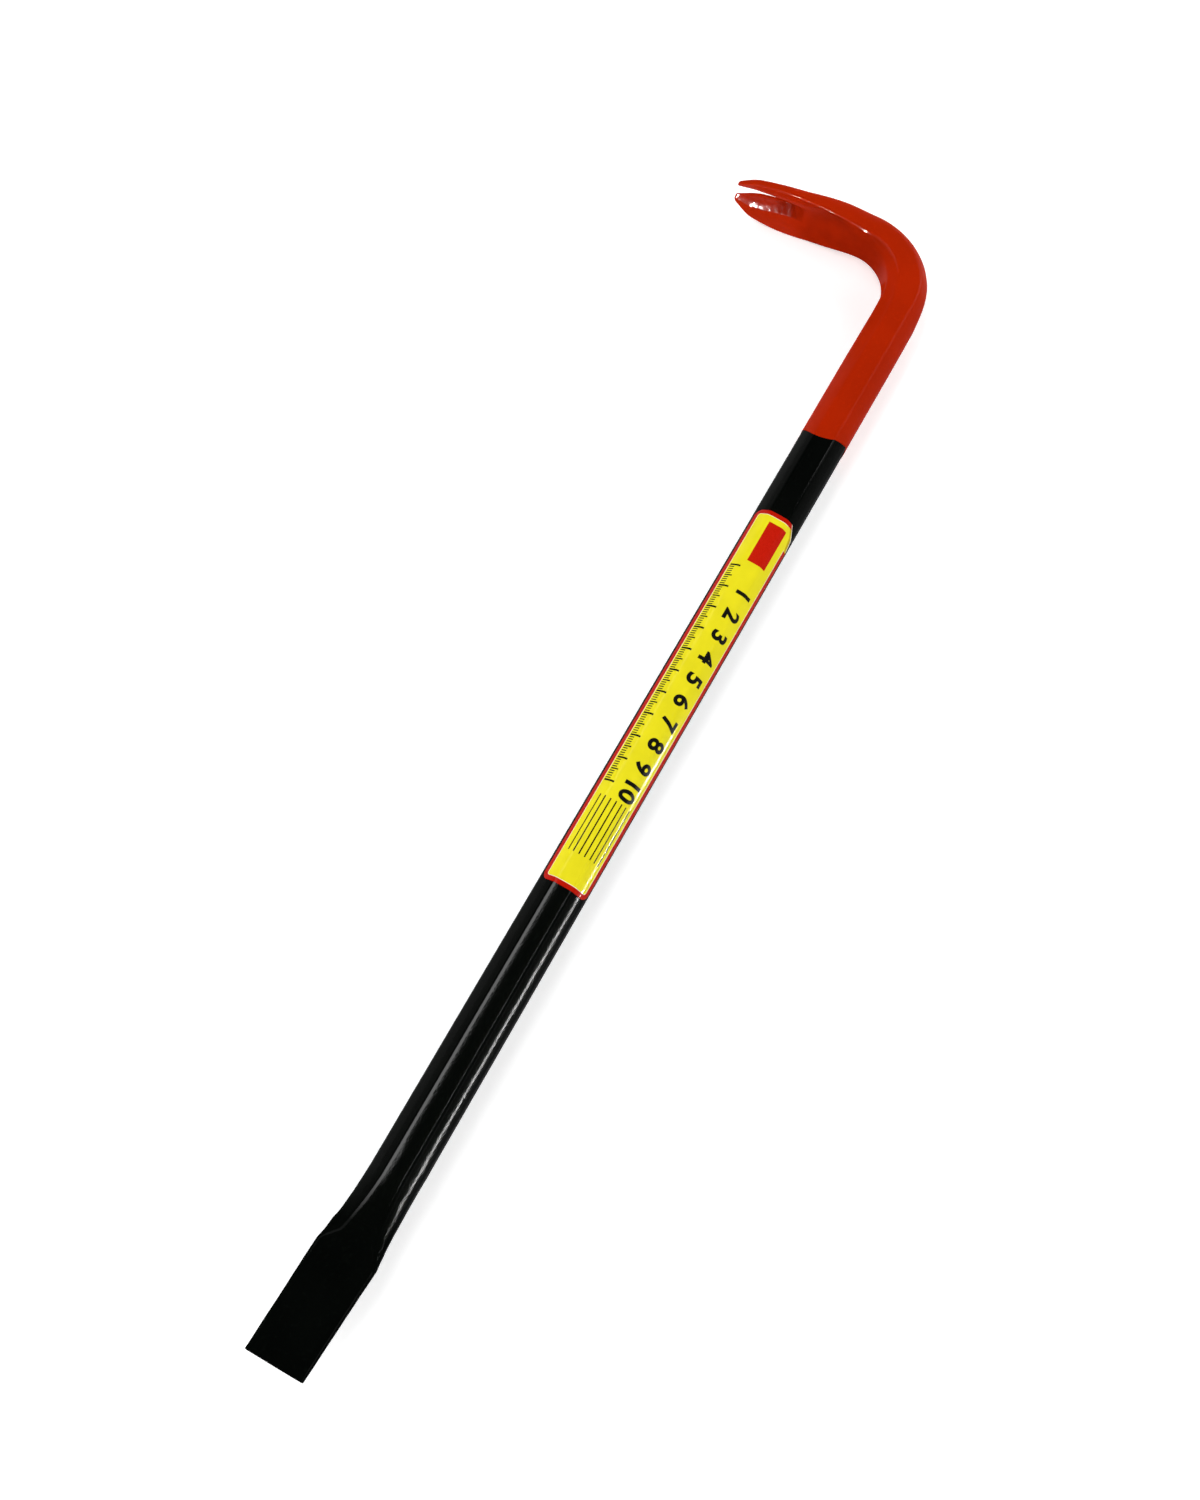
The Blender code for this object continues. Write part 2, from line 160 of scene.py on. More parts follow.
# Detail that only the looks have: slightly convex facets, rounded ends, and how the pocket's walls fall
FACET_ROUND = 1 / (35 * MM)
FACET_FADE = 10 * MM
EDGE_ROUND = 0.45 * MM
TIP_ROUND = 1.2 * MM
TIP_FLATTENING = 0.8
SLOT_TIP_ROUND = 0.35 * MM
SINK_RIM_SLOPE = math.tan(math.radians(47))
SINK_END_SHAPE = 1.6
SINK_DEPTHS = ((0.0, 0.9 * MM), (3 * MM, 1.9 * MM), (8 * MM, 3.0 * MM), (SLOT_CENTRE, 3.8 * MM))
SHARPEST_SMOOTHED = math.radians(50)

# Edge of the dip coat: distance round the bar from the top facet's middle, and where along the bar it lies.
# Then where the coat is level, where its steel ends, and how far before the pocket its rings close up
PAINT_LINE = (
    (-30.5 * MM, 395.6 * MM),
    (-20 * MM, 396.4 * MM),
    (-11.7 * MM, 397.5 * MM),
    (-3.85 * MM, 395 * MM),
    (-2.4 * MM, 394.1 * MM),
    (3.26 * MM, 392.8 * MM),
    (10.8 * MM, 395.4 * MM),
    (20 * MM, 396.2 * MM),
    (30.5 * MM, 395.6 * MM),
)
COAT_LEVEL_PLACE = 406 * MM
STEEL_END = 410 * MM
POCKET_MARGIN = 0.3 * MM

# Unevenness: the height and the size of its lumps, and where along or across the bar it comes and goes
ROLLED = (0.012 * MM, 14 * MM)
HAMMERED = (0.07 * MM, 7 * MM)
PITTED = (0.02 * MM, 2.2 * MM)
GRITTY = (0.035 * MM, 1.4 * MM)
SHAFT_FLOW = 0.012 * MM
HOOK_FLOW = 0.03 * MM
FLOW_SIZE = 6 * MM
STILL_EDGE = (0.0, 4 * MM)
HAMMERED_PLACE = (70 * MM, 95 * MM)
HOOK_PLACE = (430 * MM, 470 * MM)
GRITTY_PLACE = (50 * MM, 60 * MM)
# Hammer marks: where along, across and up, how far they reach, and how much they stand out
HAMMER_MARKS = (
    (47 * MM, -8.9 * MM, 4.4 * MM, 3.2 * MM, 0.32 * MM),
    (45 * MM, -9.4 * MM, 2.4 * MM, 2 * MM, 0.15 * MM),
    (49 * MM, 10.4 * MM, 3.5 * MM, 1.8 * MM, 0.5 * MM),
    (47 * MM, 10.9 * MM, 0.5 * MM, 2.6 * MM, 0.25 * MM),
)
# How far the painted steel and the coated hook are drawn in, to stay inside the CAD part
BLACK_INSET = 0.02 * MM
HOOK_INSET = 0.045 * MM

# Paint: the lumps of its grain, orange peel, thin places and clouds, how far its roughness varies, how dull
# it is where the steel was hammered, and how dull it is and how dark a painted shade it has in the claw's
# hollow and pocket
GRAIN_SIZE = 0.55 * MM
PEEL_SIZE = 2.6 * MM
THIN_SIZE = 1.4 * MM
CLOUD_SIZE = 17 * MM
SMOOTHEST = 0.85
ROUGHEST = 1.3
FORGED_GLOSS = 0.05
PAINTED_SHADE_GLOSS = 0.15
PAINTED_SHADE_TONE = 0.63
PAINTED_SHADE_PATCH = 8 * MM
PAINTED_SHADE_LEAST = 0.5

# Shares of a noise between which nearly all of it lies, its middle half, and its highest places
MOST_NOISE = (0.3, 0.7)
MIDDLE_NOISE = (0.35, 0.65)
HIGH_NOISE = (0.55, 0.75)
# How far a surface turns from the eye before its mirror dulls, and before it has none
SLANT = (0.12, 0.2)
RIM = (0.6, 0.8)

# Label print in mm, as the label's own map counts: the soft edge of a colour, the pale line inside the
# border, and the pale line, the shade and the plain ground along the tucked corner. Then, in metres and as
# shares, the lumps of film and ink, their roughness, and their mirror seen straight and at a slant
SOFT_EDGE = 0.04
PALE_LINE = 0.2
BORDER_END_FADE = 0.1
FOLD_START_FADE = 1.0
FOLD_LINE = (0.25, 0.32)
FOLD_SHADE = (1.3, 1.6)
FOLD_GROUND = (2.8, 2.9)
PALE = (0.84, 0.78, 0.6)
SHADED_FIELD = (0.5, 0.36, 0.008)
FIELD_DARKER = 0.93
BORDER_DARKER = 0.9
FIELD_CLOUD = 11 * MM
BORDER_PATCH = 0.35 * MM
FILM_WAVE = 3.2 * MM
FILM_WAVE_DEPTH = 0.01
FILM_ROUGHNESS = (0.05, 0.08)
FILM_MIRROR = (0.1, 0.06)
INK_PATCH = 0.4 * MM
INK_WEAR = 2 * MM
INK_ROUGHNESS = (0.18, 0.28)
INK_MIRROR = (0.03, 0.03)
INK_PALER = 1.15
INK_PALEST_ADDS = 0.002

# Scale on the label: its zero, the edge that its marks start from, where its numbers stand and how many
# divisions apart, and its rows of marks as name, how many divisions apart, length and width
SCALE_ZERO = LABEL_START + LABEL_LENGTH - 27 * MM
SCALE_EDGE = LABEL_HOOK_SIDE - 2.6 * MM
NUMBER_LINE = -3.6 * MM
NUMBERED = 10
MARK_ROWS = (
    ("fine_marks", 1, 2.4 * MM, 0.42 * MM),
    ("middle_marks", 5, 3.6 * MM, 0.55 * MM),
    ("long_marks", NUMBERED, 4.8 * MM, 0.75 * MM),
)
LETTER_SIZE = 1.38
LETTER_WEIGHT = 0.045
# Plain rules past the scale, and the plain block before it
RULE_COUNT = 7
RULE_START = (SCALE_ZERO - 118 * MM, 5.6 * MM, 0)
RULE_STEP = 2.3 * MM
RULE_LENGTH = 24 * MM
RULE_WIDTH = 0.5 * MM
BLOCK_PLACE = (SCALE_ZERO + 13 * MM, -2.2 * MM, 0)
BLOCK_LENGTH = 19 * MM
BLOCK_WIDTH = 8.4 * MM
INK_LIFT = 0.012 * MM
INK_SKIN = 0.02 * MM
MARKS_APART = 0.002 * MM

# Where lamps point, from the middle of the bar
BAR_MIDDLE = (0.0, 0.0, 0.0)
CLAW_MIDDLE = (0.23, 0.06, 0.0)
# Lamps: name, place from the middle of the bar, where it points, width and length in metres, the brightness
# that it goes by and its share of that
LAMPS = (
    ("key_lamp", (0.03, 0.475, 0.88), BAR_MIDDLE, 0.607, 0.97, "key", 1.0),
    ("left_lamp", (-1.0, 0.9, 0.5), BAR_MIDDLE, 0.7, 1.0, "fill", 1.5),
    ("right_lamp", (-0.9, -0.8, 0.7), BAR_MIDDLE, 0.7, 0.8, "fill", 1.9),
    ("far_lamp", (1.2, -0.8, 0.7), BAR_MIDDLE, 0.7, 0.8, "fill", 2.3),
    ("blade_lamp", (-1.2, 0.2, 0.5), BAR_MIDDLE, 1.0, 0.5, "fill", 1.5),
    ("hook_lamp", (1.3, -0.1, 0.6), BAR_MIDDLE, 1.2, 0.7, "fill", 1.6),
    ("line_lamp", (0.1, -0.3, 1.0), BAR_MIDDLE, 0.01, 0.9, "strip", 0.02),
    ("strip_lamp", (0.05, -1.0, 0.04), BAR_MIDDLE, 0.008, 0.6, "strip", 1.0),
    ("claw_lamp", (-0.49, -0.09, 0.92), CLAW_MIDDLE, 0.04, 0.02, "claw", 1.0),
)
ONLY_MIRRORED = ("strip", "claw")
CLAW_LAMP_SPREAD = math.radians(34)
FLOOR_HALF = 6.0
FLOOR_CLOUD = 0.3
FLOOR_DARKER = 0.995
FLOOR_ROUGHNESS = 0.9
# Walls of the studio: how high they are pale, how high they are dark, and both tones
WALL_RISE = (0.05, 0.5)
WALL_PALE = (0.9, 0.9, 0.9)
WALL_DARK = (0.012, 0.012, 0.012)

# Camera, from the chisel's end of the shaft: its place, and its tilt, sway and turn
CAMERA_PLACE = (67.496 * MM, -28.614 * MM, 545.979 * MM)
CAMERA_TURN = (math.radians(17.212), math.radians(-4.815), math.radians(-60.764))

# How finely the surfaces are divided
FACE_STEPS = 8
CORNER_STEPS = 6
OUTER_STEPS = 18
INNER_STEPS = 14
POCKET_STEPS = 14
SLOT_WALL_STEPS = 8
ROUND_STEPS = 14
LABEL_STEPS = 60
# Rings of the black forging: round the chisel's edge, along blade and neck, and along the shaft
EDGE_RINGS = 6
BLADE_RINGS = 110
SHAFT_RINGS = 200
# Rings of the dip coat: its edge, shaft, bend, claw, end of the pocket, end of the slot, tines and tips
COAT_EDGE_RINGS = 26
COAT_RINGS = 50
BEND_RINGS = 80
CLAW_RINGS = 44
POCKET_END_RINGS = 18
SLOT_END_RINGS = 6
TINE_RINGS = 60
TIP_RINGS = 9
REACH_STEPS = 400

mounts = {mount["name"]: Vector(mount["pos_m"]) for mount in frame["record"]["mounts"]}
SHAFT_BACK = mounts["shaft_back"]
SHAFT = Vector((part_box("forged_bar")[0].x, SHAFT_BACK.y + STOCK / 2, SHAFT_BACK.z))
COLOUR = {"subtype": "COLOR", "size": 3, "min": 0, "max": 1}


class PaintLook(bpy.types.PropertyGroup):
    """Paint over the forging."""

    black: FloatVectorProperty(
        name="Black", description="Colour of the paint on shaft and blade",
        default=(0.0014, 0.0019, 0.0015), **COLOUR
    )
    orange: FloatVectorProperty(
        name="Orange", description="Colour of the dip coat on the hook",
        default=(0.4, 0.0165, 0.0012), **COLOUR
    )
    black_roughness: FloatProperty(
        name="Black roughness", description="Roughness of the black paint", min=0, max=1, default=0.07
    )
    orange_roughness: FloatProperty(
        name="Orange roughness", description="Roughness of the dip coat", min=0, max=1, default=0.11
    )
    coat_thickness: FloatProperty(
        name="Coat thickness", description="How far the dip coat stands out from the black paint",
        default=0.1 * MM, unit="LENGTH",
    )
    bead: FloatProperty(
        name="Bead", description="How much thicker the dip coat is along its edge",
        default=0.06 * MM, unit="LENGTH",
    )
    bead_width: FloatProperty(
        name="Bead width", description="Width of the thicker edge", default=0.8 * MM, unit="LENGTH"
    )


class LabelLook(bpy.types.PropertyGroup):
    """Printed film round the shaft."""

    field: FloatVectorProperty(
        name="Field", description="Colour of the printed field", default=(0.8, 0.71, 0.015), **COLOUR
    )
    border: FloatVectorProperty(
        name="Border", description="Colour of the printed border", default=(0.47, 0.009, 0.002), **COLOUR
    )
    ink: FloatVectorProperty(
        name="Ink", description="Colour of the scale and its numbers", default=(0.004, 0.004, 0.003), **COLOUR
    )
    film: FloatProperty(
        name="Film thickness", description="Thickness of the film", default=0.12 * MM, unit="LENGTH"
    )
    border_width: FloatProperty(
        name="Border width", description="Width of the printed border", default=1.8 * MM, unit="LENGTH"
    )
    number_height: FloatProperty(
        name="Number height", description="Height of the scale's numbers", default=7 * MM, unit="LENGTH"
    )
    division: FloatProperty(
        name="Division", description="Distance between the scale's finest marks",
        default=1 * MM, unit="LENGTH",
    )
    numbers: IntProperty(
        name="Numbers", description="How many divisions are numbered", min=1, max=16, default=10
    )


class StudioLook(bpy.types.PropertyGroup):
    """Floor, lamps and camera."""

    floor: FloatVectorProperty(
        name="Floor", description="Colour of the floor", default=(0.93, 0.93, 0.93), **COLOUR
    )
    paper_white: FloatProperty(
        name="Paper white", description="How much of the floor's white needs no light",
        min=0, max=1, default=0.4,
    )
    key: FloatProperty(
        name="Key", description="Brightness of the long soft lamp", min=0, default=3.0
    )
    strip: FloatProperty(
        name="Strip", description="Brightness of the low strip lamp", min=0, default=900.0
    )
    fill: FloatProperty(
        name="Fill", description="Brightness of the lamps that fill the shadows", min=0, default=1.9
    )
    claw: FloatProperty(
        name="Claw", description="Brightness of the small lamp the claw mirrors", min=0, default=2200.0
    )
    lens: FloatProperty(
        name="Lens", description="Focal length of the camera", default=36.959, unit="CAMERA"
    )


def evenly(start, end, steps):
    return [start + (end - start) * i / steps for i in range(steps + 1)]


def ease(value, start, end):
    """Zero before start, one after end, smooth between."""
    t = min(1.0, max(0.0, (value - start) / (end - start)))
    return t * t * (3 - 2 * t)


def smooth_through(stations, at):
    """Read a value from (place, value) stations along a curve that never overshoots them."""
    if at <= stations[0][0]:
        return stations[0][1]
    if at >= stations[-1][0]:
        return stations[-1][1]
    slopes = [(b[1] - a[1]) / (b[0] - a[0]) for a, b in zip(stations, stations[1:])]
    tangents = [slopes[0]]
    for before, after in zip(slopes, slopes[1:]):
        same_way = before * after > 0
        tangents.append(2 * before * after / (before + after) if same_way else 0.0)
    tangents.append(slopes[-1])
    index = max(i for i in range(len(slopes)) if stations[i][0] <= at)
    (start, low), (end, high) = stations[index], stations[index + 1]
    span = end - start
    t = (at - start) / span
    return (
        low * (1 + 2 * t) * (1 - t) ** 2
        + high * t * t * (3 - 2 * t)
        + span * tangents[index] * t * (1 - t) ** 2
        - span * tangents[index + 1] * t * t * (1 - t)
    )


def section_arcs(thickness, width, corner):
    """Eight rounded corners of a corner-cut rectangle, as lists of (point, facing) from +thickness round."""
    half_in = thickness / 2
    half_across = width / 2
    least_half = min(half_in, half_across)
    corner = min(corner, CORNER_MOST * least_half)
    radius = min(STOCK_CORNER_RADIUS, CORNER_ROUNDING * corner, FLAT_ROUNDING * (least_half - corner))
    quarter = [(half_in, half_across - corner), (half_in - corner, half_across)]
    mirrored = [(-a, b) for a, b in reversed(quarter)]
    corners = quarter + mirrored + [(-a, -b) for a, b in quarter + mirrored]
    arcs = []
    for index, (inward, across) in enumerate(corners):
        middle = index * EIGHTH + SIXTEENTH
        reach = radius / math.cos(SIXTEENTH)
        centre = Vector((inward - reach * math.cos(middle), across - reach * math.sin(middle)))
        turns = evenly(index * EIGHTH, (index + 1) * EIGHTH, CORNER_STEPS)
        arcs.append([(centre + radius * Vector((math.cos(a), math.sin(a))), a) for a in turns])
    return arcs


def face_sinks(arcs):
    """How far each face's ends lie under its middle, because the faces are slightly convex."""
    halves = [(arc[0][0] - arcs[index - 1][-1][0]).length / 2 for index, arc in enumerate(arcs)]
    return [FACET_ROUND * min(half, FLAT_HALF) ** 2 / 2 for half in halves]


def face_points(start, end, facing, sink):
    """Points of a slightly convex face between two corners, without its ends, as (point, facing, sink)."""
    shares = evenly(-1, 1, FACE_STEPS)[1:-1]
    return [(start.lerp(end, (share + 1) / 2), facing, sink * share**2) for share in shares]


def corner_points(arc, sink_before, sink_after):
    return [
        (point, facing, sink_before + (sink_after - sink_before) * step / CORNER_STEPS)
        for step, (point, facing) in enumerate(arc)
    ]


def raised(points, lift):
    """Points carried out along their facing by lift, less how far they lie under their face's middle."""
    return [
        point + (lift - sink) * Vector((math.cos(facing), math.sin(facing)))
        for point, facing, sink in points
    ]


def bar_section(thickness, width, corner):
    """Closed outline of the blade, neck or shaft as (inward, across) points."""
    arcs = section_arcs(thickness, width, corner)
    sinks = face_sinks(arcs)
    points = []
    for index, arc in enumerate(arcs):
        points += face_points(arcs[index - 1][-1][0], arc[0][0], index * EIGHTH, sinks[index])
        points += corner_points(arc, sinks[index], sinks[(index + 1) % len(arcs)])
    return raised(points, 0.0)


def follow_arc(point, heading, radius, length):
    """The point and heading after length along an arc that turns left."""
    turned = heading + length / radius
    return (
        (
            point[0] + radius * (math.sin(turned) - math.sin(heading)),
            point[1] - radius * (math.cos(turned) - math.cos(heading)),
        ),
        turned,
    )


def hook_place(along):
    """Point and heading in the hook's plane, at a distance along the hook from where it starts to bend."""
    point, heading = follow_arc((0.0, 0.0), 0.0, ENTRY_RADIUS, min(along, ENTRY_LENGTH))
    if along > ENTRY_LENGTH:
        bend = min(along, BEND_LENGTH) - ENTRY_LENGTH
        point, heading = follow_arc(point, heading, BEND_RADIUS, bend)
    if along > BEND_LENGTH:
        curved = min(along - BEND_LENGTH, CLAW_LENGTH / 2)
        point, heading = follow_arc(point, heading, CLAW_CURVE_RADIUS, curved)
        straight = along - BEND_LENGTH - curved
        point = (point[0] + straight * math.cos(heading), point[1] + straight * math.sin(heading))
    return point, heading


def on_hook(along, inward, across):
    (x, y), heading = hook_place(along)
    return Vector((x - math.sin(heading) * inward, y + math.cos(heading) * inward, across))


def hook_sizes(along):
    """Thickness, width and corner cut of the hook's section, at a distance along the hook."""
    stations, *sizes = zip(*HOOK_SECTIONS)
    return [smooth_through(tuple(zip(stations, size)), along) for size in sizes]


def dish_share(along):
    """How much of the claw's hollow is there: none in the bend, all of it from the claw's middle on."""
    return smooth_through(((BEND_LENGTH, 0.0), (BEND_LENGTH + CLAW_LENGTH / 2, 1.0)), along)


def end_round(distance, radius):
    """How far an outline draws in at a distance from an end that is rounded to this radius."""
    past = max(0.0, 1 - distance / radius)
    return radius * (1 - math.sqrt(1 - past**2))


def slot_half(back):
    """Half width of the nail slot at a distance back from the tips: none past its round root."""
    past = back - SLOT_CENTRE
    if past >= SLOT_ROOT / 2:
        return 0.0
    stations = ((0.0, SLOT_MOUTH), (SLOT_KNEE_PLACE, SLOT_KNEE), (SLOT_CENTRE, SLOT_ROOT))
    half = smooth_through(stations, back) / 2
    if past > 0:
        half *= math.sqrt(1 - (past / (SLOT_ROOT / 2)) ** 2)
    return half + end_round(back, SLOT_TIP_ROUND)


def sink_half(back):
    """Half width of the countersink's rim, before its round end."""
    stations = ((0.0, SINK_MOUTH), (SINK_BELLY_PLACE, SINK_BELLY), (SLOT_CENTRE, SINK_ROOT))
    return smooth_through(stations, back) / 2


def sink_depth(back, across):
    """Depth of the countersink under the inner face: steepest at its rim, and closed by part of a bowl."""
    deepest = smooth_through(SINK_DEPTHS, back)
    rim = sink_half(back)
    floor = min(slot_half(min(back, SLOT_CENTRE)), SINK_FLOOR_SHARE * rim)
    round_end = max(0.0, (back - SLOT_CENTRE) / (SINK_LENGTH - SLOT_CENTRE)) ** SINK_END_SHAPE
    outward = math.hypot(round_end, across / rim)
    reach = min(1.0, max(0.0, (1 - outward) / (1 - floor / rim)))
    return deepest * (1 - (1 - reach) ** max(1.0, SINK_RIM_SLOPE * (rim - floor) / deepest))


def grid_rim(back, face_half):
    """Where the inner face's lines part from the pocket's: at its rim, or at a share of the plain face."""
    face_share = 0.45
    fade = 15 * MM
    least_pocket = 0.15 * MM
    least_face = 0.1 * MM
    rim = sink_half(back)
    rim += (face_share * face_half - rim) * ease(back, SINK_LENGTH, SINK_LENGTH + fade)
    return min(max(rim, slot_half(back) + least_pocket), face_half - least_face)


def hook_half(along, lift):
    """Half of the hook's section, across from zero up, as (inward, across) points.

    It is an outline from the slot's outer edge round to its inner edge, and the slot's wall between them.
    """
    back = HOOK_LENGTH - along
    drawn_in = end_round(back, TIP_ROUND)
    thickness, width, corner = hook_sizes(along)
    thickness -= TIP_FLATTENING * drawn_in
    width -= 2 * drawn_in
    arcs = section_arcs(thickness, width, corner)
    sinks = face_sinks(arcs)
    edge = slot_half(back)
    outer_corner = arcs[3][-1][0]
    inner_corner = arcs[0][0][0]
    points = []
    for across in evenly(edge, outer_corner.y, OUTER_STEPS)[:-1]:
        sink = sinks[4] * (across / outer_corner.y) ** 2
        points.append((Vector((outer_corner.x, across)), 4 * EIGHTH, sink))
    for index in (3, 2, 1, 0):
        points += reversed(corner_points(arcs[index], sinks[index], sinks[index + 1]))
        if index:
            end = arcs[index - 1][-1][0]
            points += face_points(arcs[index][0][0], end, index * EIGHTH, sinks[index])
    rim = grid_rim(back, inner_corner.y)
    places = evenly(inner_corner.y, rim, INNER_STEPS)[1:]
    turns = evenly(0, math.pi, POCKET_STEPS)[1:]
    places += [edge + (rim - edge) * (1 + math.cos(turn)) / 2 for turn in turns]
    for across in places:
        sink = sinks[0] * (across / inner_corner.y) ** 2 + sink_depth(back, across)
        points.append((Vector((inner_corner.x, across)), 0.0, sink))
    share = dish_share(along)
    half_in = thickness / 2
    outline = []
    for inward, across in raised(points, lift):
        level = min(1.0, max(0.0, (inward + half_in) / thickness))
        curved = (level / CLAW_HOLLOW_RADIUS + (1 - level) / CLAW_CROWN_RADIUS) * across**2
        inward += share * (curved - (width / 2) ** 2 / CLAW_SETBACK_RADIUS) / 2
        outline.append(Vector((inward, across)))
    wall = [outline[-1].lerp(outline[0], step) for step in evenly(0, 1, SLOT_WALL_STEPS)[1:-1]]
    return outline, wall


def blade_ring(x):
    """Section of the blade, its neck or the shaft, x from the chisel's edge. The blade is wide along Y."""
    neck_end = BLADE_LENGTH + NECK_LENGTH
    to_stock = min(NECK_LENGTH, max(0.0, neck_end - x))
    if x < BLADE_LENGTH:
        width = BLADE_EDGE_WIDTH + (BLADE_SHOULDER_WIDTH - BLADE_EDGE_WIDTH) * x / BLADE_LENGTH
    else:
        width = STOCK + (BLADE_SHOULDER_WIDTH - STOCK) * (to_stock / NECK_LENGTH) ** 3
    thickness = smooth_through(
        (
            (0.0, BLADE_EDGE_THICKNESS),
            (BLADE_LENGTH, BLADE_SHOULDER_THICKNESS),
            (neck_end, STOCK),
            (neck_end + NECK_LENGTH, STOCK),
        ),
        x,
    )
    corner = smooth_through(
        (
            (0.0, BLADE_CORNER),
            (BLADE_LENGTH, BLADE_CORNER),
            (BLADE_LENGTH + FACET_FADE, STOCK_CORNER),
            (neck_end + FACET_RUN_OUT, STOCK_CORNER),
        ),
        x,
    )
    drawn_in = end_round(x, EDGE_ROUND)
    leaning = to_stock**2 / (2 * NECK_LENGTH) + max(0.0, BLADE_LENGTH - x)
    sideways = math.tan(BLADE_LEAN) * leaning
    outline = bar_section(width - 2 * drawn_in, thickness - 2 * drawn_in, corner)
    return [Vector((x, sideways + inward, across)) for inward, across in outline]


def girth_of(point):
    """Distance round the bar from the middle of the top facet, positive towards +Y."""
    return math.atan2(point.y, point.z) / EIGHTH * FACET


def new_mesh_object(name, mesh):
    """An object that holds a bmesh, with the piece's place kept in its vertices."""
    data = bpy.data.meshes.new(name)
    mesh.to_mesh(data)
    mesh.free()
    thing = bpy.data.objects.new(name, data)
    bpy.context.scene.collection.objects.link(thing)
    return thing


def loft(name, rings):
    """Closed solid through rings of as many points each, with a flat cap at both ends."""
    mesh = bmesh.new()
    loops = [[mesh.verts.new(point) for point in ring] for ring in rings]
    count = len(rings[0])
    for near, far in zip(loops, loops[1:]):
        for i in range(count):
            mesh.faces.new((near[i], near[(i + 1) % count], far[(i + 1) % count], far[i]))
    mesh.faces.new(loops[0])
    mesh.faces.new(loops[-1])
    bmesh.ops.recalc_face_normals(mesh, faces=mesh.faces)
    return new_mesh_object(name, mesh)


def settle(thing):
    """Turn what the modifiers make into the object's own plain mesh."""
    depsgraph = bpy.context.evaluated_depsgraph_get()
    data = bpy.data.meshes.new_from_object(thing.evaluated_get(depsgraph))
    thing.modifiers.clear()
    old = thing.data
    thing.data = data
    data.name = thing.name
    bpy.data.meshes.remove(old)


def forked_loft(name, sections):
    """Closed solid through mirrored half sections, which part into two tines where the slot opens.

    Each section is (outline, wall, place), where place carries (inward, across) into the bar's coordinates.
    """
    mesh = bmesh.new()
    rings = []
    for outline, wall, place in sections:
        forked = outline[0].y > 0
        sides = []
        for side in (1, -1):
            chain = []
            for index, point in enumerate(outline):
                shared = not forked and index in (0, len(outline) - 1)
                if side < 0 and shared:
                    chain.append(sides[0][0][index])
                else:
                    chain.append(mesh.verts.new(place(point.x, side * point.y)))
            sides.append((chain, []))
        rings.append((forked, sides))
    for index, ((forked, sides), (outline, wall, place)) in enumerate(zip(rings, sections)):
        opens_next = not forked and index + 1 < len(rings) and rings[index + 1][0]
        if opens_next:
            shared = [mesh.verts.new(place(point.x, 0.0)) for point in wall]
            for chain, inner in sides:
                inner += shared
        elif forked:
            for side, (chain, inner) in zip((1, -1), sides):
                inner += [mesh.verts.new(place(point.x, side * point.y)) for point in wall]

    def skin(near, far):
        for a, b, c, d in zip(near, near[1:], far[1:], far):
            mesh.faces.new((a, b, c, d))

    for (_, sides), (forked_next, sides_next) in zip(rings, rings[1:]):
        for (chain, inner), (chain_next, inner_next) in zip(sides, sides_next):
            skin(chain, chain_next)
            if forked_next:
                skin([chain[-1]] + inner + [chain[0]], [chain_next[-1]] + inner_next + [chain_next[0]])
    for forked, sides in (rings[0], rings[-1]):
        if forked:
            for chain, inner in sides:
                mesh.faces.new(chain + inner)
        else:
            mesh.faces.new(sides[0][0] + sides[1][0][-2:0:-1])
    bmesh.ops.recalc_face_normals(mesh, faces=mesh.faces)
    return new_mesh_object(name, mesh)


def lumps(place, height, size):
    """Height at a place of smooth noise whose lumps have this height and size."""
    return height * noise.noise(place / size)


def roughen(thing, height_at):
    """Move each vertex along its normal by what height_at says for its place."""
    moved = [vert.co + vert.normal * height_at(vert.co) for vert in thing.data.vertices]
    for vert, place in zip(thing.data.vertices, moved):
        vert.co = place


def add_node(tree, kind, **settings):
    node = tree.nodes.new(kind)
    for name, value in settings.items():
        setattr(node, name, value)
    return node


def calculate(tree, operation, *values):
    """A Math node on these values, which are sockets or numbers; returns its output."""
    node = add_node(tree, "ShaderNodeMath", operation=operation)
    for socket, value in zip(node.inputs, values):
        if isinstance(value, bpy.types.NodeSocket):
            tree.links.new(value, socket)
        else:
            socket.default_value = value
    return node.outputs[0]


def surface_place(tree):
    """Where a surface lies, in the metres of the frame."""
    return add_node(tree, "ShaderNodeTexCoord").outputs["Object"]


def noise_value(tree, place, size, detail=2.0):
    """Noise from zero to one whose lumps have this size, in metres."""
    node = add_node(tree, "ShaderNodeTexNoise")
    node.inputs["Scale"].default_value = 1 / size
    node.inputs["Detail"].default_value = detail
    tree.links.new(place, node.inputs["Vector"])
    return node.outputs["Fac"]


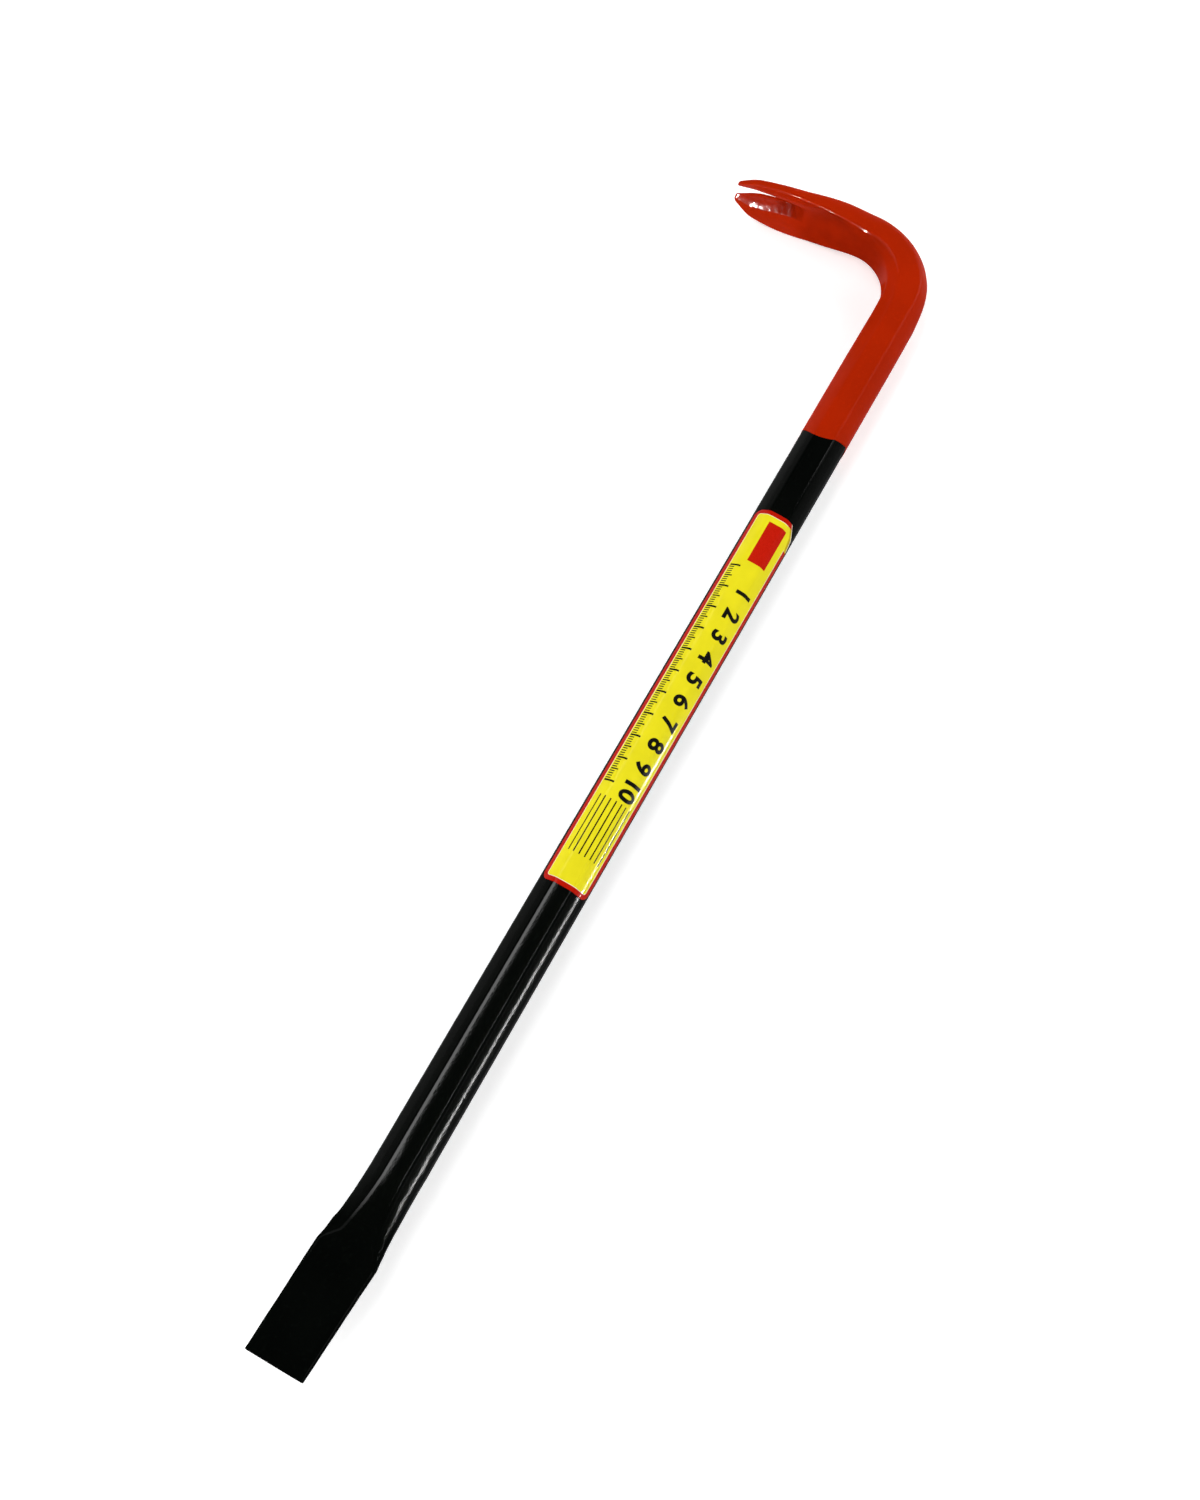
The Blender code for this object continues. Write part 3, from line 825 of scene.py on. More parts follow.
def paint_surface_group():
    """Shader group of what both paints share: a fine grain, an orange peel, and a mask of thinner places."""
    found = bpy.data.node_groups.get("paint_surface")
    if found:
        return found
    tree = bpy.data.node_groups.new("paint_surface", "ShaderNodeTree")
    for name in ("Grain Depth", "Peel Depth"):
        socket = tree.interface.new_socket(name, in_out="INPUT", socket_type="NodeSocketFloat")
        socket.min_value = 0.0
        socket.max_value = 1.0
    for name in ("Height", "Thin", "Cloud"):
        tree.interface.new_socket(name, in_out="OUTPUT", socket_type="NodeSocketFloat")
    start = add_node(tree, "NodeGroupInput")
    end = add_node(tree, "NodeGroupOutput")
    place = surface_place(tree)
    grain = noise_value(tree, place, GRAIN_SIZE)
    peel = noise_value(tree, place, PEEL_SIZE)
    deep_grain = calculate(tree, "MULTIPLY", grain, start.outputs["Grain Depth"])
    deep_peel = calculate(tree, "MULTIPLY", peel, start.outputs["Peel Depth"])
    tree.links.new(calculate(tree, "ADD", deep_grain, deep_peel), end.inputs["Height"])
    tree.links.new(noise_value(tree, place, THIN_SIZE, detail=4.0), end.inputs["Thin"])
    tree.links.new(noise_value(tree, place, CLOUD_SIZE, detail=3.0), end.inputs["Cloud"])
    return tree


def new_material(name):
    material = bpy.data.materials.new(name)
    material.use_nodes = True
    return material, material.node_tree, material.node_tree.nodes["Principled BSDF"]


def mixed(tree, share, low, high):
    """A colour between two colours; share is a socket."""
    node = add_node(tree, "ShaderNodeMix", data_type="RGBA")
    tree.links.new(share, node.inputs[0])
    for socket, value in ((node.inputs[6], low), (node.inputs[7], high)):
        if isinstance(value, bpy.types.NodeSocket):
            tree.links.new(value, socket)
        else:
            socket.default_value = (*value, 1.0)
    return node.outputs[2]


def between(tree, value, from_low, from_high, to_low=0.0, to_high=1.0):
    """How far a value is between two numbers, as a share or as what lies that far between two others."""
    node = add_node(tree, "ShaderNodeMapRange")
    tree.links.new(value, node.inputs["Value"])
    for name, number in (
        ("From Min", from_low),
        ("From Max", from_high),
        ("To Min", to_low),
        ("To Max", to_high),
    ):
        node.inputs[name].default_value = number
    return node.outputs["Result"]


def times(colour, factor):
    return tuple(factor * part for part in colour)


def clouded(tree, share, colour, darker):
    """A colour that is multiplied by the factor darker where share is zero, and whole where share is one."""
    return mixed(tree, share, times(colour, darker), tuple(colour))


def bend_light(tree, shader, height):
    """Tilt the shading of a surface by a height, which is a socket and counts in mm."""
    bump = add_node(tree, "ShaderNodeBump")
    bump.inputs["Strength"].default_value = 1.0
    bump.inputs["Distance"].default_value = MM
    tree.links.new(height, bump.inputs["Height"])
    tree.links.new(bump.outputs["Normal"], shader.inputs["Normal"])


def dull_at_slant(tree, shader, mirror, slant_mirror, gloss=1.0):
    """Give a surface less of a mirror where it is seen at a slant than where it faces the eye."""
    facing = add_node(tree, "ShaderNodeLayerWeight").outputs["Facing"]
    level = between(tree, facing, *SLANT, mirror, slant_mirror)
    rim = between(tree, facing, *RIM, 1.0, 0.0)
    level = calculate(tree, "MULTIPLY", calculate(tree, "MULTIPLY", level, rim), gloss)
    tree.links.new(level, shader.inputs["Specular IOR Level"])


def paint_material(name, colour, roughness, darker, paler, mirror, slant_mirror, grain, peel):
    """Glossy paint over forged steel: cloudy colour, uneven gloss that dulls at a slant, and a fine grain.

    It is dull on the forged blade. In the claw's hollow and at the back of its pocket, which a piece's
    attribute
    marks, it is dull and darker: a painted shade.
    """
    material, tree, shader = new_material(name)
    place = surface_place(tree)
    surface = add_node(tree, "ShaderNodeGroup", node_tree=paint_surface_group())
    surface.inputs["Grain Depth"].default_value = grain
    surface.inputs["Peel Depth"].default_value = peel
    cloud = between(tree, surface.outputs["Cloud"], *MOST_NOISE)
    coloured = clouded(tree, cloud, colour, darker)
    thin = between(tree, surface.outputs["Thin"], *HIGH_NOISE)
    coloured = mixed(tree, thin, coloured, times(colour, paler))
    # Painted shade: darker, patchy colour in the claw's hollow and at the back of its pocket, where the
    # attribute marks it
    painted_shade = add_node(tree, "ShaderNodeAttribute", attribute_name="painted_shade").outputs["Fac"]
    patches = noise_value(tree, place, PAINTED_SHADE_PATCH, detail=3.0)
    patches = between(tree, patches, *MIDDLE_NOISE, PAINTED_SHADE_LEAST, 1.0)
    coloured = mixed(tree, calculate(tree, "MULTIPLY", painted_shade, patches), coloured, times(colour, PAINTED_SHADE_TONE))
    tree.links.new(coloured, shader.inputs["Base Color"])
    uneven = between(tree, surface.outputs["Thin"], *MOST_NOISE, roughness * SMOOTHEST, roughness * ROUGHEST)
    tree.links.new(uneven, shader.inputs["Roughness"])
    bend_light(tree, shader, surface.outputs["Height"])
    along = add_node(tree, "ShaderNodeSeparateXYZ")
    tree.links.new(place, along.inputs[0])
    forged_end = SHAFT.x + BLADE_LENGTH + FACET_FADE
    gloss = between(tree, along.outputs["X"], forged_end, forged_end + 2 * FACET_FADE, FORGED_GLOSS, 1.0)
    # Less mirror where the painted shade lies
    gloss = calculate(tree, "MULTIPLY", gloss, between(tree, painted_shade, 0.0, 1.0, 1.0, PAINTED_SHADE_GLOSS))
    dull_at_slant(tree, shader, mirror, slant_mirror, gloss)
    return material


def dress(thing, material, slot, *nodes):
    """Give a finished piece its material and its body, and hide the CAD parts that it stands for; slot is not
    used.
    """
    thing.data.materials.clear()
    thing.data.materials.append(material)
    thing.data.shade_smooth()
    thing.data.set_sharp_from_angle(angle=SHARPEST_SMOOTHED)
    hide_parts(*nodes)
    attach(thing, ROOT)


def mark_pooled(thing):
    """Mark the painted shade, which darkens the dip coat and dulls it: in the claw's hollow and at the back
    of its pocket.
    """
    tip = max(vert.co.y for vert in thing.data.vertices)
    inside = Vector((-1, 1, 0)).normalized()
    turned_in = (0.3, 0.6)
    hollow_start = (SINK_LENGTH - 7 * MM, SINK_LENGTH + 10 * MM)
    pocket_start = (0.5 * SINK_LENGTH, 0.7 * SINK_LENGTH)
    pocket_end = (SINK_LENGTH - 1 * MM, SINK_LENGTH + 1 * MM)
    under_rim = (0.0, 0.5 * MM)
    not_outer = (-0.1, 0.2)
    shares = []
    for vert in thing.data.vertices:
        back = tip - vert.co.y
        hollow = ease(vert.normal.dot(inside), *turned_in) * ease(vert.co.y, STOCK / 2, STOCK)
        hollow *= ease(back, *hollow_start)
        pocket = ease(sink_half(back) - abs(vert.co.z), *under_rim) * ease(-vert.normal.x, *not_outer)
        pocket *= ease(back, *pocket_start) * (1 - ease(back, *pocket_end))
        shares.append(min(1.0, hollow + pocket))
    painted_shade = thing.data.attributes.new("painted_shade", "FLOAT", "POINT")
    painted_shade.data.foreach_set("value", shares)


def place_on_shaft(thing):
    """Carry a mesh from bar coordinates into the frame of the part."""
    thing.data.transform(Matrix.Translation(SHAFT))


class PRYBAR_OT_black_forging(bpy.types.Operator):
    """Forge the shaft and the chisel blade, and paint them black"""

    bl_idname = "pry_bar.black_forging"
    bl_label = "Black forging"

    def execute(self, context):
        paint = context.scene.pry_bar_paint
        neck_end = BLADE_LENGTH + NECK_LENGTH
        places = evenly(0, EDGE_ROUND, EDGE_RINGS) + evenly(EDGE_ROUND, neck_end, BLADE_RINGS)[1:]
        places += evenly(neck_end, STEEL_END, SHAFT_RINGS)[1:]
        thing = loft("black_forging", [blade_ring(x) for x in places])

        def uneven(place):
            forged = ease(place.x, *STILL_EDGE) * (1 - ease(place.x, *HAMMERED_PLACE))
            height = lumps(place, *ROLLED) + forged * (lumps(place, *HAMMERED) + lumps(place, *PITTED))
            for x, y, z, reach, proud in HAMMER_MARKS:
                height += proud * math.exp(-((place - Vector((x, y, z))).length / reach) ** 2)
            return height - BLACK_INSET

        roughen(thing, uneven)
        place_on_shaft(thing)
        material = paint_material(
            "black_paint_gloss", paint.black, paint.black_roughness,
            darker=0.7, paler=1.5, mirror=0.5, slant_mirror=0.025, grain=0.015, peel=0.004,
        )
        dress(thing, material, "black_paint", "forged_bar")
        return {"FINISHED"}


class PRYBAR_OT_orange_coat(bpy.types.Operator):
    """Dip the hook end in orange paint, with its wavy thick edge on the shaft"""

    bl_idname = "pry_bar.orange_coat"
    bl_label = "Orange coat"

    def execute(self, context):
        paint = context.scene.pry_bar_paint
        places = evenly(0, HOOK_LENGTH, REACH_STEPS)
        hook_reach = max(on_hook(along, -hook_sizes(along)[0] / 2, 0).x for along in places)
        hook_start = LENGTH - hook_reach
        start = Vector((hook_start, 0, 0))
        stock_outline, stock_wall = hook_half(-STOCK, 0.0)
        sections = []

        def at_edge(level):
            def place(inward, across):
                edge = smooth_through(PAINT_LINE, girth_of(Vector((0, inward, across))))
                along = edge + (COAT_LEVEL_PLACE - edge) * level
                past = (along - edge) / paint.bead_width - 1
                lift = paint.coat_thickness + paint.bead * math.exp(-past * past)
                return Vector((along, inward, across)) + lift * Vector((0, inward, across)).normalized()

            return place

        def on_shaft(x):
            return lambda inward, across: Vector((x, inward, across))

        def along_hook(along):
            return lambda inward, across: start + on_hook(along, inward, across)

        for level in evenly(0, 1, COAT_EDGE_RINGS)[:-1]:
            sections.append((stock_outline, stock_wall, at_edge(level)))
        for x in evenly(COAT_LEVEL_PLACE, hook_start, COAT_RINGS)[:-1]:
            lift = paint.coat_thickness * (1 - ease(x, hook_start - STOCK, hook_start))
            sections.append((*hook_half(-STOCK, lift), on_shaft(x)))
        before_pocket = HOOK_LENGTH - SINK_LENGTH - POCKET_MARGIN
        slot_end = HOOK_LENGTH - SLOT_LENGTH
        slot_centre = HOOK_LENGTH - SLOT_CENTRE
        last = HOOK_LENGTH - TIP_ROUND
        turns = evenly(0, math.pi / 2, TIP_RINGS)[1:]
        alongs = evenly(0, BEND_LENGTH, BEND_RINGS) + evenly(BEND_LENGTH, before_pocket, CLAW_RINGS)[1:]
        alongs += evenly(before_pocket, slot_end, POCKET_END_RINGS)[1:]
        shares = evenly(0, 1, SLOT_END_RINGS)[1:]
        alongs += [slot_end + (slot_centre - slot_end) * share**2 for share in shares]
        alongs += evenly(slot_centre, last, TINE_RINGS)[1:]
        alongs += [HOOK_LENGTH - TIP_ROUND * (1 - math.sin(turn)) for turn in turns]
        sections += [(*hook_half(along, 0.0), along_hook(along)) for along in alongs]
        thing = forked_loft("orange_coat", sections)
        smooth = thing.modifiers.new("paint flow", "SMOOTH")
        smooth.factor = 0.5
        smooth.iterations = 3
        context.view_layer.update()
        settle(thing)

        def uneven(place):
            on_the_hook = ease(place.x, *HOOK_PLACE)
            flow = lumps(place, SHAFT_FLOW + HOOK_FLOW * on_the_hook, FLOW_SIZE)
            grit = ease(place.y, *GRITTY_PLACE) * lumps(place, *GRITTY)
            return flow + grit - HOOK_INSET * on_the_hook

        roughen(thing, uneven)
        # Painted shade in the claw's hollow and pocket
        mark_pooled(thing)
        place_on_shaft(thing)
        material = paint_material(
            "orange_paint_gloss", paint.orange, paint.orange_roughness,
            darker=0.9, paler=1.05, mirror=0.05, slant_mirror=0.015, grain=0.006, peel=0.03,
        )
        dress(thing, material, "orange_paint", "forged_bar")
        return {"FINISHED"}


def on_stock(girth, lift):
    """Place across the bar of a distance round it, on its slightly convex facets."""
    steps = math.floor(abs(girth) / FACET + 0.5)
    past = abs(girth) - steps * FACET
    if abs(past) > FLAT_HALF:
        turn = math.copysign((abs(past) - FLAT_HALF) / FACET_TRIM * SIXTEENTH, past)
        reach = STOCK_CORNER_RADIUS + lift - FACET_ROUND * FLAT_HALF**2 / 2
        out = STOCK / 2 - STOCK_CORNER_RADIUS + reach * math.cos(turn)
        shift = math.copysign(FLAT_HALF, past) + reach * math.sin(turn)
    else:
        out = STOCK / 2 + lift - FACET_ROUND * past**2 / 2
        shift = past
    facing = steps * EIGHTH
    y = out * math.sin(facing) + shift * math.cos(facing)
    z = out * math.cos(facing) - shift * math.sin(facing)
    return math.copysign(y, girth), z


def cut_flat(flat, place, facing):
    """Cut a flat bmesh by the plane through this place that faces this way."""
    everything = flat.verts[:] + flat.edges[:] + flat.faces[:]
    bmesh.ops.bisect_plane(flat, geom=everything, plane_co=place, plane_no=facing)


def score(flat):
    """Cut lines into a flat bmesh of (along, girth) where the facets turn, so that it can follow them."""
    scores = []
    for corner in (-3, -1, 1, 3):
        scores += [corner * FACET / 2 + share * FACET_TRIM for share in evenly(-1, 1, CORNER_STEPS)]
    for facet in (-1, 0, 1):
        scores += [facet * FACET + share * FLAT_HALF for share in evenly(-1, 1, FACE_STEPS)[1:-1]]
    low = min(vert.co.y for vert in flat.verts)
    high = max(vert.co.y for vert in flat.verts)
    for girth in scores:
        if low < girth < high:
            cut_flat(flat, (0, girth, 0), (0, 1, 0))


def wrap(flat, lift):
    """Lay a flat bmesh of (along, girth) on the bar at this height, its faces turned outward."""
    for vert in flat.verts:
        y, z = on_stock(vert.co.y, lift)
        vert.co = (vert.co.x, y, z)
    flat.normal_update()
    for face in flat.faces:
        centre = face.calc_center_median()
        if face.normal.dot(Vector((0, centre.y, centre.z))) < 0:
            face.normal_flip()


def arc_points(centre, radius, start_degrees):
    """A quarter turn of an outline's rounded corner."""
    turns = evenly(math.radians(start_degrees), math.radians(start_degrees + 90), ROUND_STEPS)
    return [(centre[0] + radius * math.cos(turn), centre[1] + radius * math.sin(turn)) for turn in turns]


def label_outline():
    """Flat outline of the label as (along, girth) points, girth counted round the bar from the top facet."""
    start = LABEL_START
    end = LABEL_START + LABEL_LENGTH
    near = LABEL_HOOK_SIDE
    far = -LABEL_FAR_SIDE
    radius = LABEL_CORNER_RADIUS
    tucked_corner = [
        (end - LABEL_FOLD_LENGTH, far),
        (end - LABEL_FOLD_LENGTH / 2, far + LABEL_FOLD_WIDTH / 2 - LABEL_FOLD_BOW),
        (end, far + LABEL_FOLD_WIDTH),
    ]
    return (
        arc_points((start + radius, far + radius), radius, 180)
        + tucked_corner
        + arc_points((end - radius, near - radius), radius, 0)
        + arc_points((start + radius, near - radius), radius, 90)
    )


def fold_distance(tree, along, girth):
    """Distance in mm from the bowed edge where one corner of the label is tucked under."""
    fold_start = LABEL_START + LABEL_LENGTH - LABEL_FOLD_LENGTH
    share = calculate(tree, "SUBTRACT", along, fold_start / MM)
    share = calculate(tree, "DIVIDE", share, LABEL_FOLD_LENGTH / MM)
    edge = calculate(tree, "MULTIPLY", share, LABEL_FOLD_WIDTH / MM)
    from_middle = calculate(tree, "ABSOLUTE", calculate(tree, "SUBTRACT", share, 0.5))
    bow = calculate(tree, "MAXIMUM", calculate(tree, "SUBTRACT", 0.5, from_middle), 0.0)
    bow = calculate(tree, "MULTIPLY", bow, 2 * LABEL_FOLD_BOW / MM)
    edge = calculate(tree, "SUBTRACT", calculate(tree, "SUBTRACT", edge, bow), LABEL_FAR_SIDE / MM)
    slope = math.atan2(LABEL_FOLD_WIDTH, LABEL_FOLD_LENGTH)
    return calculate(tree, "MULTIPLY", calculate(tree, "SUBTRACT", girth, edge), math.cos(slope))


def edge_distance(tree, along, girth):
    """Distance in mm inward from the label's flat outline with its round corners."""
    beyond = []
    for socket, middle, half in (
        (along, LABEL_START + LABEL_LENGTH / 2, LABEL_LENGTH / 2),
        (girth, (LABEL_HOOK_SIDE - LABEL_FAR_SIDE) / 2, (LABEL_HOOK_SIDE + LABEL_FAR_SIDE) / 2),
    ):
        from_middle = calculate(tree, "ABSOLUTE", calculate(tree, "SUBTRACT", socket, middle / MM))
        beyond.append(calculate(tree, "SUBTRACT", from_middle, (half - LABEL_CORNER_RADIUS) / MM))
    outside = [calculate(tree, "MAXIMUM", value, 0.0) for value in beyond]
    squares = [calculate(tree, "MULTIPLY", value, value) for value in outside]
    corner = calculate(tree, "SQRT", calculate(tree, "ADD", *squares))
    inside = calculate(tree, "MINIMUM", calculate(tree, "MAXIMUM", *beyond), 0.0)
    return calculate(tree, "SUBTRACT", LABEL_CORNER_RADIUS / MM, calculate(tree, "ADD", corner, inside))


def label_material(look):
    """Printed film: ground, border, a pale line inside it, and a shaded, pale-edged tucked corner."""
    material, tree, shader = new_material("label_print_film")
    flat = add_node(tree, "ShaderNodeUVMap", uv_map="flat")
    parts = add_node(tree, "ShaderNodeSeparateXYZ")
    tree.links.new(flat.outputs["UV"], parts.inputs[0])
    along = parts.outputs["X"]
    girth = parts.outputs["Y"]
    place = surface_place(tree)
    cloud = noise_value(tree, place, FIELD_CLOUD, detail=3.0)
    patches = noise_value(tree, place, BORDER_PATCH, detail=3.0)
    field = clouded(tree, between(tree, cloud, *MIDDLE_NOISE), look.field, FIELD_DARKER)
    border = clouded(tree, between(tree, patches, *MOST_NOISE), look.border, BORDER_DARKER)
    from_edge = edge_distance(tree, along, girth)
    width = look.border_width / MM
    colour = mixed(tree, between(tree, from_edge, width, width + SOFT_EDGE), border, PALE)
    width += PALE_LINE
    colour = mixed(tree, between(tree, from_edge, width, width + SOFT_EDGE), colour, field)
    from_fold = fold_distance(tree, along, girth)
    border_start = (LABEL_START + LABEL_LENGTH - look.border_width) / MM
    fold_start = (LABEL_START + LABEL_LENGTH - LABEL_FOLD_LENGTH) / MM
    on_fold = calculate(
        tree, "MULTIPLY",
        between(tree, along, border_start - BORDER_END_FADE, border_start, 1.0, 0.0),
        between(tree, along, fold_start - FOLD_START_FADE, fold_start),
    )
    for reach, tone in ((FOLD_GROUND, field), (FOLD_SHADE, SHADED_FIELD)):
        near_fold = calculate(tree, "MULTIPLY", between(tree, from_fold, *reach, 1.0, 0.0), on_fold)
        colour = mixed(tree, near_fold, colour, tone)
    colour = mixed(tree, between(tree, from_fold, *FOLD_LINE, 1.0, 0.0), colour, PALE)
    tree.links.new(colour, shader.inputs["Base Color"])
    tree.links.new(between(tree, cloud, *MOST_NOISE, *FILM_ROUGHNESS), shader.inputs["Roughness"])
    wave = noise_value(tree, place, FILM_WAVE)
    bend_light(tree, shader, calculate(tree, "MULTIPLY", wave, FILM_WAVE_DEPTH))
    dull_at_slant(tree, shader, *FILM_MIRROR)
    return material


class PRYBAR_OT_label_film(bpy.types.Operator):
    """Wrap the printed film over three facets, with one corner tucked under"""

    bl_idname = "pry_bar.label_film"
    bl_label = "Label film"

    def execute(self, context):
        look = context.scene.pry_bar_label
        flat = bmesh.new()
        flat.faces.new([flat.verts.new((along, girth, 0.0)) for along, girth in label_outline()])
        for x in evenly(LABEL_START, LABEL_START + LABEL_LENGTH, LABEL_STEPS)[1:-1]:
            cut_flat(flat, (x, 0, 0), (1, 0, 0))
        score(flat)
        flat_map = flat.loops.layers.uv.new("flat")
        for face in flat.faces:
            for loop in face.loops:
                loop[flat_map].uv = (loop.vert.co.x / MM, loop.vert.co.y / MM)
        wrap(flat, 0.0)
        thing = new_mesh_object("label_film", flat)
        wall = thing.modifiers.new("film", "SOLIDIFY")
        wall.thickness = look.film
        wall.offset = 1.0
        wall.use_even_offset = True
        context.view_layer.update()
        settle(thing)
        place_on_shaft(thing)
        dress(thing, label_material(look), "label_film", "label")
        return {"FINISHED"}


def marks_tree():
    """Geometry tree that repeats one rectangular printed mark along a step."""
    found = bpy.data.node_groups.get("printed_marks")
    if found:
        return found
    tree = bpy.data.node_groups.new("printed_marks", "GeometryNodeTree")
    for name, kind in (
        ("Geometry", "NodeSocketGeometry"),
        ("Count", "NodeSocketInt"),
        ("Start", "NodeSocketVector"),
        ("Step", "NodeSocketVector"),
        ("Along", "NodeSocketFloat"),
        ("Round", "NodeSocketFloat"),
        ("Material", "NodeSocketMaterial"),
    ):
        tree.interface.new_socket(name, in_out="INPUT", socket_type=kind)
    tree.interface.new_socket("Geometry", in_out="OUTPUT", socket_type="NodeSocketGeometry")
    start = add_node(tree, "NodeGroupInput")
    end = add_node(tree, "NodeGroupOutput")
    line = add_node(tree, "GeometryNodeMeshLine", mode="OFFSET", count_mode="TOTAL")
    mark = add_node(tree, "GeometryNodeMeshGrid")
    mark.inputs["Vertices X"].default_value = 2
    mark.inputs["Vertices Y"].default_value = 2
    copies = add_node(tree, "GeometryNodeInstanceOnPoints")
    real = add_node(tree, "GeometryNodeRealizeInstances")
    inked = add_node(tree, "GeometryNodeSetMaterial")
    for source, target in (
        (start.outputs["Count"], line.inputs["Count"]),
        (start.outputs["Start"], line.inputs["Start Location"]),
        (start.outputs["Step"], line.inputs["Offset"]),
        (start.outputs["Along"], mark.inputs["Size X"]),
        (start.outputs["Round"], mark.inputs["Size Y"]),
        (line.outputs["Mesh"], copies.inputs["Points"]),
        (mark.outputs["Mesh"], copies.inputs["Instance"]),
        (copies.outputs["Instances"], real.inputs["Geometry"]),
        (real.outputs["Geometry"], inked.inputs["Geometry"]),
        (start.outputs["Material"], inked.inputs["Material"]),
        (inked.outputs["Geometry"], end.inputs["Geometry"]),
    ):
        tree.links.new(source, target)
    return tree


def marks_mesh(name, material, count, start, step, along, across):
    """A flat mesh of repeated marks in (along, girth), made by the geometry tree."""
    holder = bpy.data.objects.new(name, bpy.data.meshes.new(name))
    bpy.context.scene.collection.objects.link(holder)
    modifier = holder.modifiers.new("marks", "NODES")
    modifier.node_group = marks_tree()
    values = {
        "Count": count,
        "Start": start,
        "Step": step,
        "Along": along,
        "Round": across,
        "Material": material,
    }
    for socket in modifier.node_group.interface.items_tree:
        if socket.in_out == "INPUT" and socket.name in values:
            modifier[socket.identifier] = values[socket.name]
    bpy.context.view_layer.update()
    settle(holder)
    data = holder.data
    bpy.data.objects.remove(holder)
    return data


def number_mesh(text, height, along, girth):
    """A flat mesh of a plain number that reads towards the chisel, its top towards the far side."""
    curve = bpy.data.curves.new("number_" + text, "FONT")
    curve.body = text
    curve.size = height * LETTER_SIZE
    curve.offset = height * LETTER_WEIGHT
    curve.align_x = "CENTER"
    curve.align_y = "CENTER"
    curve.resolution_u = 6
    holder = bpy.data.objects.new("number_" + text, curve)
    bpy.context.scene.collection.objects.link(holder)
    bpy.context.view_layer.update()
    depsgraph = bpy.context.evaluated_depsgraph_get()
    data = bpy.data.meshes.new_from_object(holder.evaluated_get(depsgraph))
    data.transform(Matrix.Translation((along, girth, 0)) @ Matrix.Rotation(math.pi, 4, "Z"))
    bpy.data.objects.remove(holder)
    bpy.data.curves.remove(curve)
    return data


def print_on_film(name, meshes, material, lift):
    """Join flat printed marks, lay them on the film and give them a thin skin of ink."""
    flat = bmesh.new()
    for data in meshes:
        flat.from_mesh(data)
        bpy.data.meshes.remove(data)
    bmesh.ops.remove_doubles(flat, verts=flat.verts, dist=MARKS_APART)
    score(flat)
    wrap(flat, lift)
    thing = new_mesh_object(name, flat)
    skin = thing.modifiers.new("ink", "SOLIDIFY")
    skin.thickness = INK_SKIN
    skin.offset = -1.0
    bpy.context.view_layer.update()
    settle(thing)
    place_on_shaft(thing)
    dress(thing, material, "label_film", "label")


def ink_material(name, colour):
    """Flat printing ink, a little patchy in tone and in gloss."""
    material, tree, shader = new_material(name)
    place = surface_place(tree)
    patches = between(tree, noise_value(tree, place, INK_PATCH, detail=3.0), *MIDDLE_NOISE)
    paler = tuple(min(1.0, part * INK_PALER + INK_PALEST_ADDS) for part in colour)
    tree.links.new(mixed(tree, patches, tuple(colour), paler), shader.inputs["Base Color"])
    uneven = between(tree, noise_value(tree, place, INK_WEAR), *MOST_NOISE, *INK_ROUGHNESS)
    tree.links.new(uneven, shader.inputs["Roughness"])
    dull_at_slant(tree, shader, *INK_MIRROR)
    return material


class PRYBAR_OT_label_print(bpy.types.Operator):
    """Print a plain graduated scale with plain numbers on the film"""

    bl_idname = "pry_bar.label_print"
    bl_label = "Label print"

    def execute(self, context):
        look = context.scene.pry_bar_label
        lift = look.film + INK_LIFT
        ink = ink_material("print_black", look.ink)
        red = ink_material("print_red", look.border)
        numbered = NUMBERED * look.division
        meshes = []
        for name, every, length, width in MARK_ROWS:
            step = every * look.division
            count = round(look.numbers * numbered / step) + 1
            start = (SCALE_ZERO, SCALE_EDGE - length / 2, 0)
            meshes.append(marks_mesh(name, ink, count, start, (-step, 0, 0), width, length))
        for number in range(1, look.numbers + 1):
            along = SCALE_ZERO - number * numbered
            meshes.append(number_mesh(str(number), look.number_height, along, NUMBER_LINE))
        print_on_film("scale_print", meshes, ink, lift)
        rules = marks_mesh("rules", ink, RULE_COUNT, RULE_START, (0, -RULE_STEP, 0), RULE_LENGTH, RULE_WIDTH)
        print_on_film("rule_print", [rules], ink, lift)
        block = marks_mesh("block", red, 1, BLOCK_PLACE, (0, 0, 0), BLOCK_LENGTH, BLOCK_WIDTH)
        print_on_film("block_print", [block], red, lift)
        return {"FINISHED"}


def soft_lamp(name, place, target, width, length, radiance):
    """A rectangular lamp of this radiance that faces its target, long along the bar."""
    light = bpy.data.lights.new(name, "AREA")
    light.shape = "RECTANGLE"
    light.size = length
    light.size_y = width
    light.energy = radiance * math.pi * width * length
    lamp = bpy.data.objects.new(name, light)
    bpy.context.scene.collection.objects.link(lamp)
    back = (place - target).normalized()
    across = back.cross(Vector((1, 0, 0))).normalized()
    along = across.cross(back)
    turn = Matrix((along, across, back)).transposed()
    lamp.matrix_world = Matrix.Translation(place) @ turn.to_4x4()
    return lamp


def floor_material(look):
    """Pale paper that looks white to the camera and in mirrors, and still takes the bar's shadow."""
    material, tree, shader = new_material("floor_paper")
    place = surface_place(tree)
    tone = between(tree, noise_value(tree, place, FLOOR_CLOUD), *MOST_NOISE)
    tree.links.new(clouded(tree, tone, look.floor, FLOOR_DARKER), shader.inputs["Base Color"])
    shader.inputs["Roughness"].default_value = FLOOR_ROUGHNESS
    shader.inputs["Specular IOR Level"].default_value = 0.0
    rays = add_node(tree, "ShaderNodeLightPath")
    seen = calculate(tree, "MAXIMUM", rays.outputs["Is Camera Ray"], rays.outputs["Is Glossy Ray"])
    seen = calculate(tree, "MAXIMUM", seen, rays.outputs["Is Transmission Ray"])
    shader.inputs["Emission Color"].default_value = (1.0, 1.0, 1.0, 1.0)
    tree.links.new(calculate(tree, "MULTIPLY", seen, look.paper_white), shader.inputs["Emission Strength"])
    return material


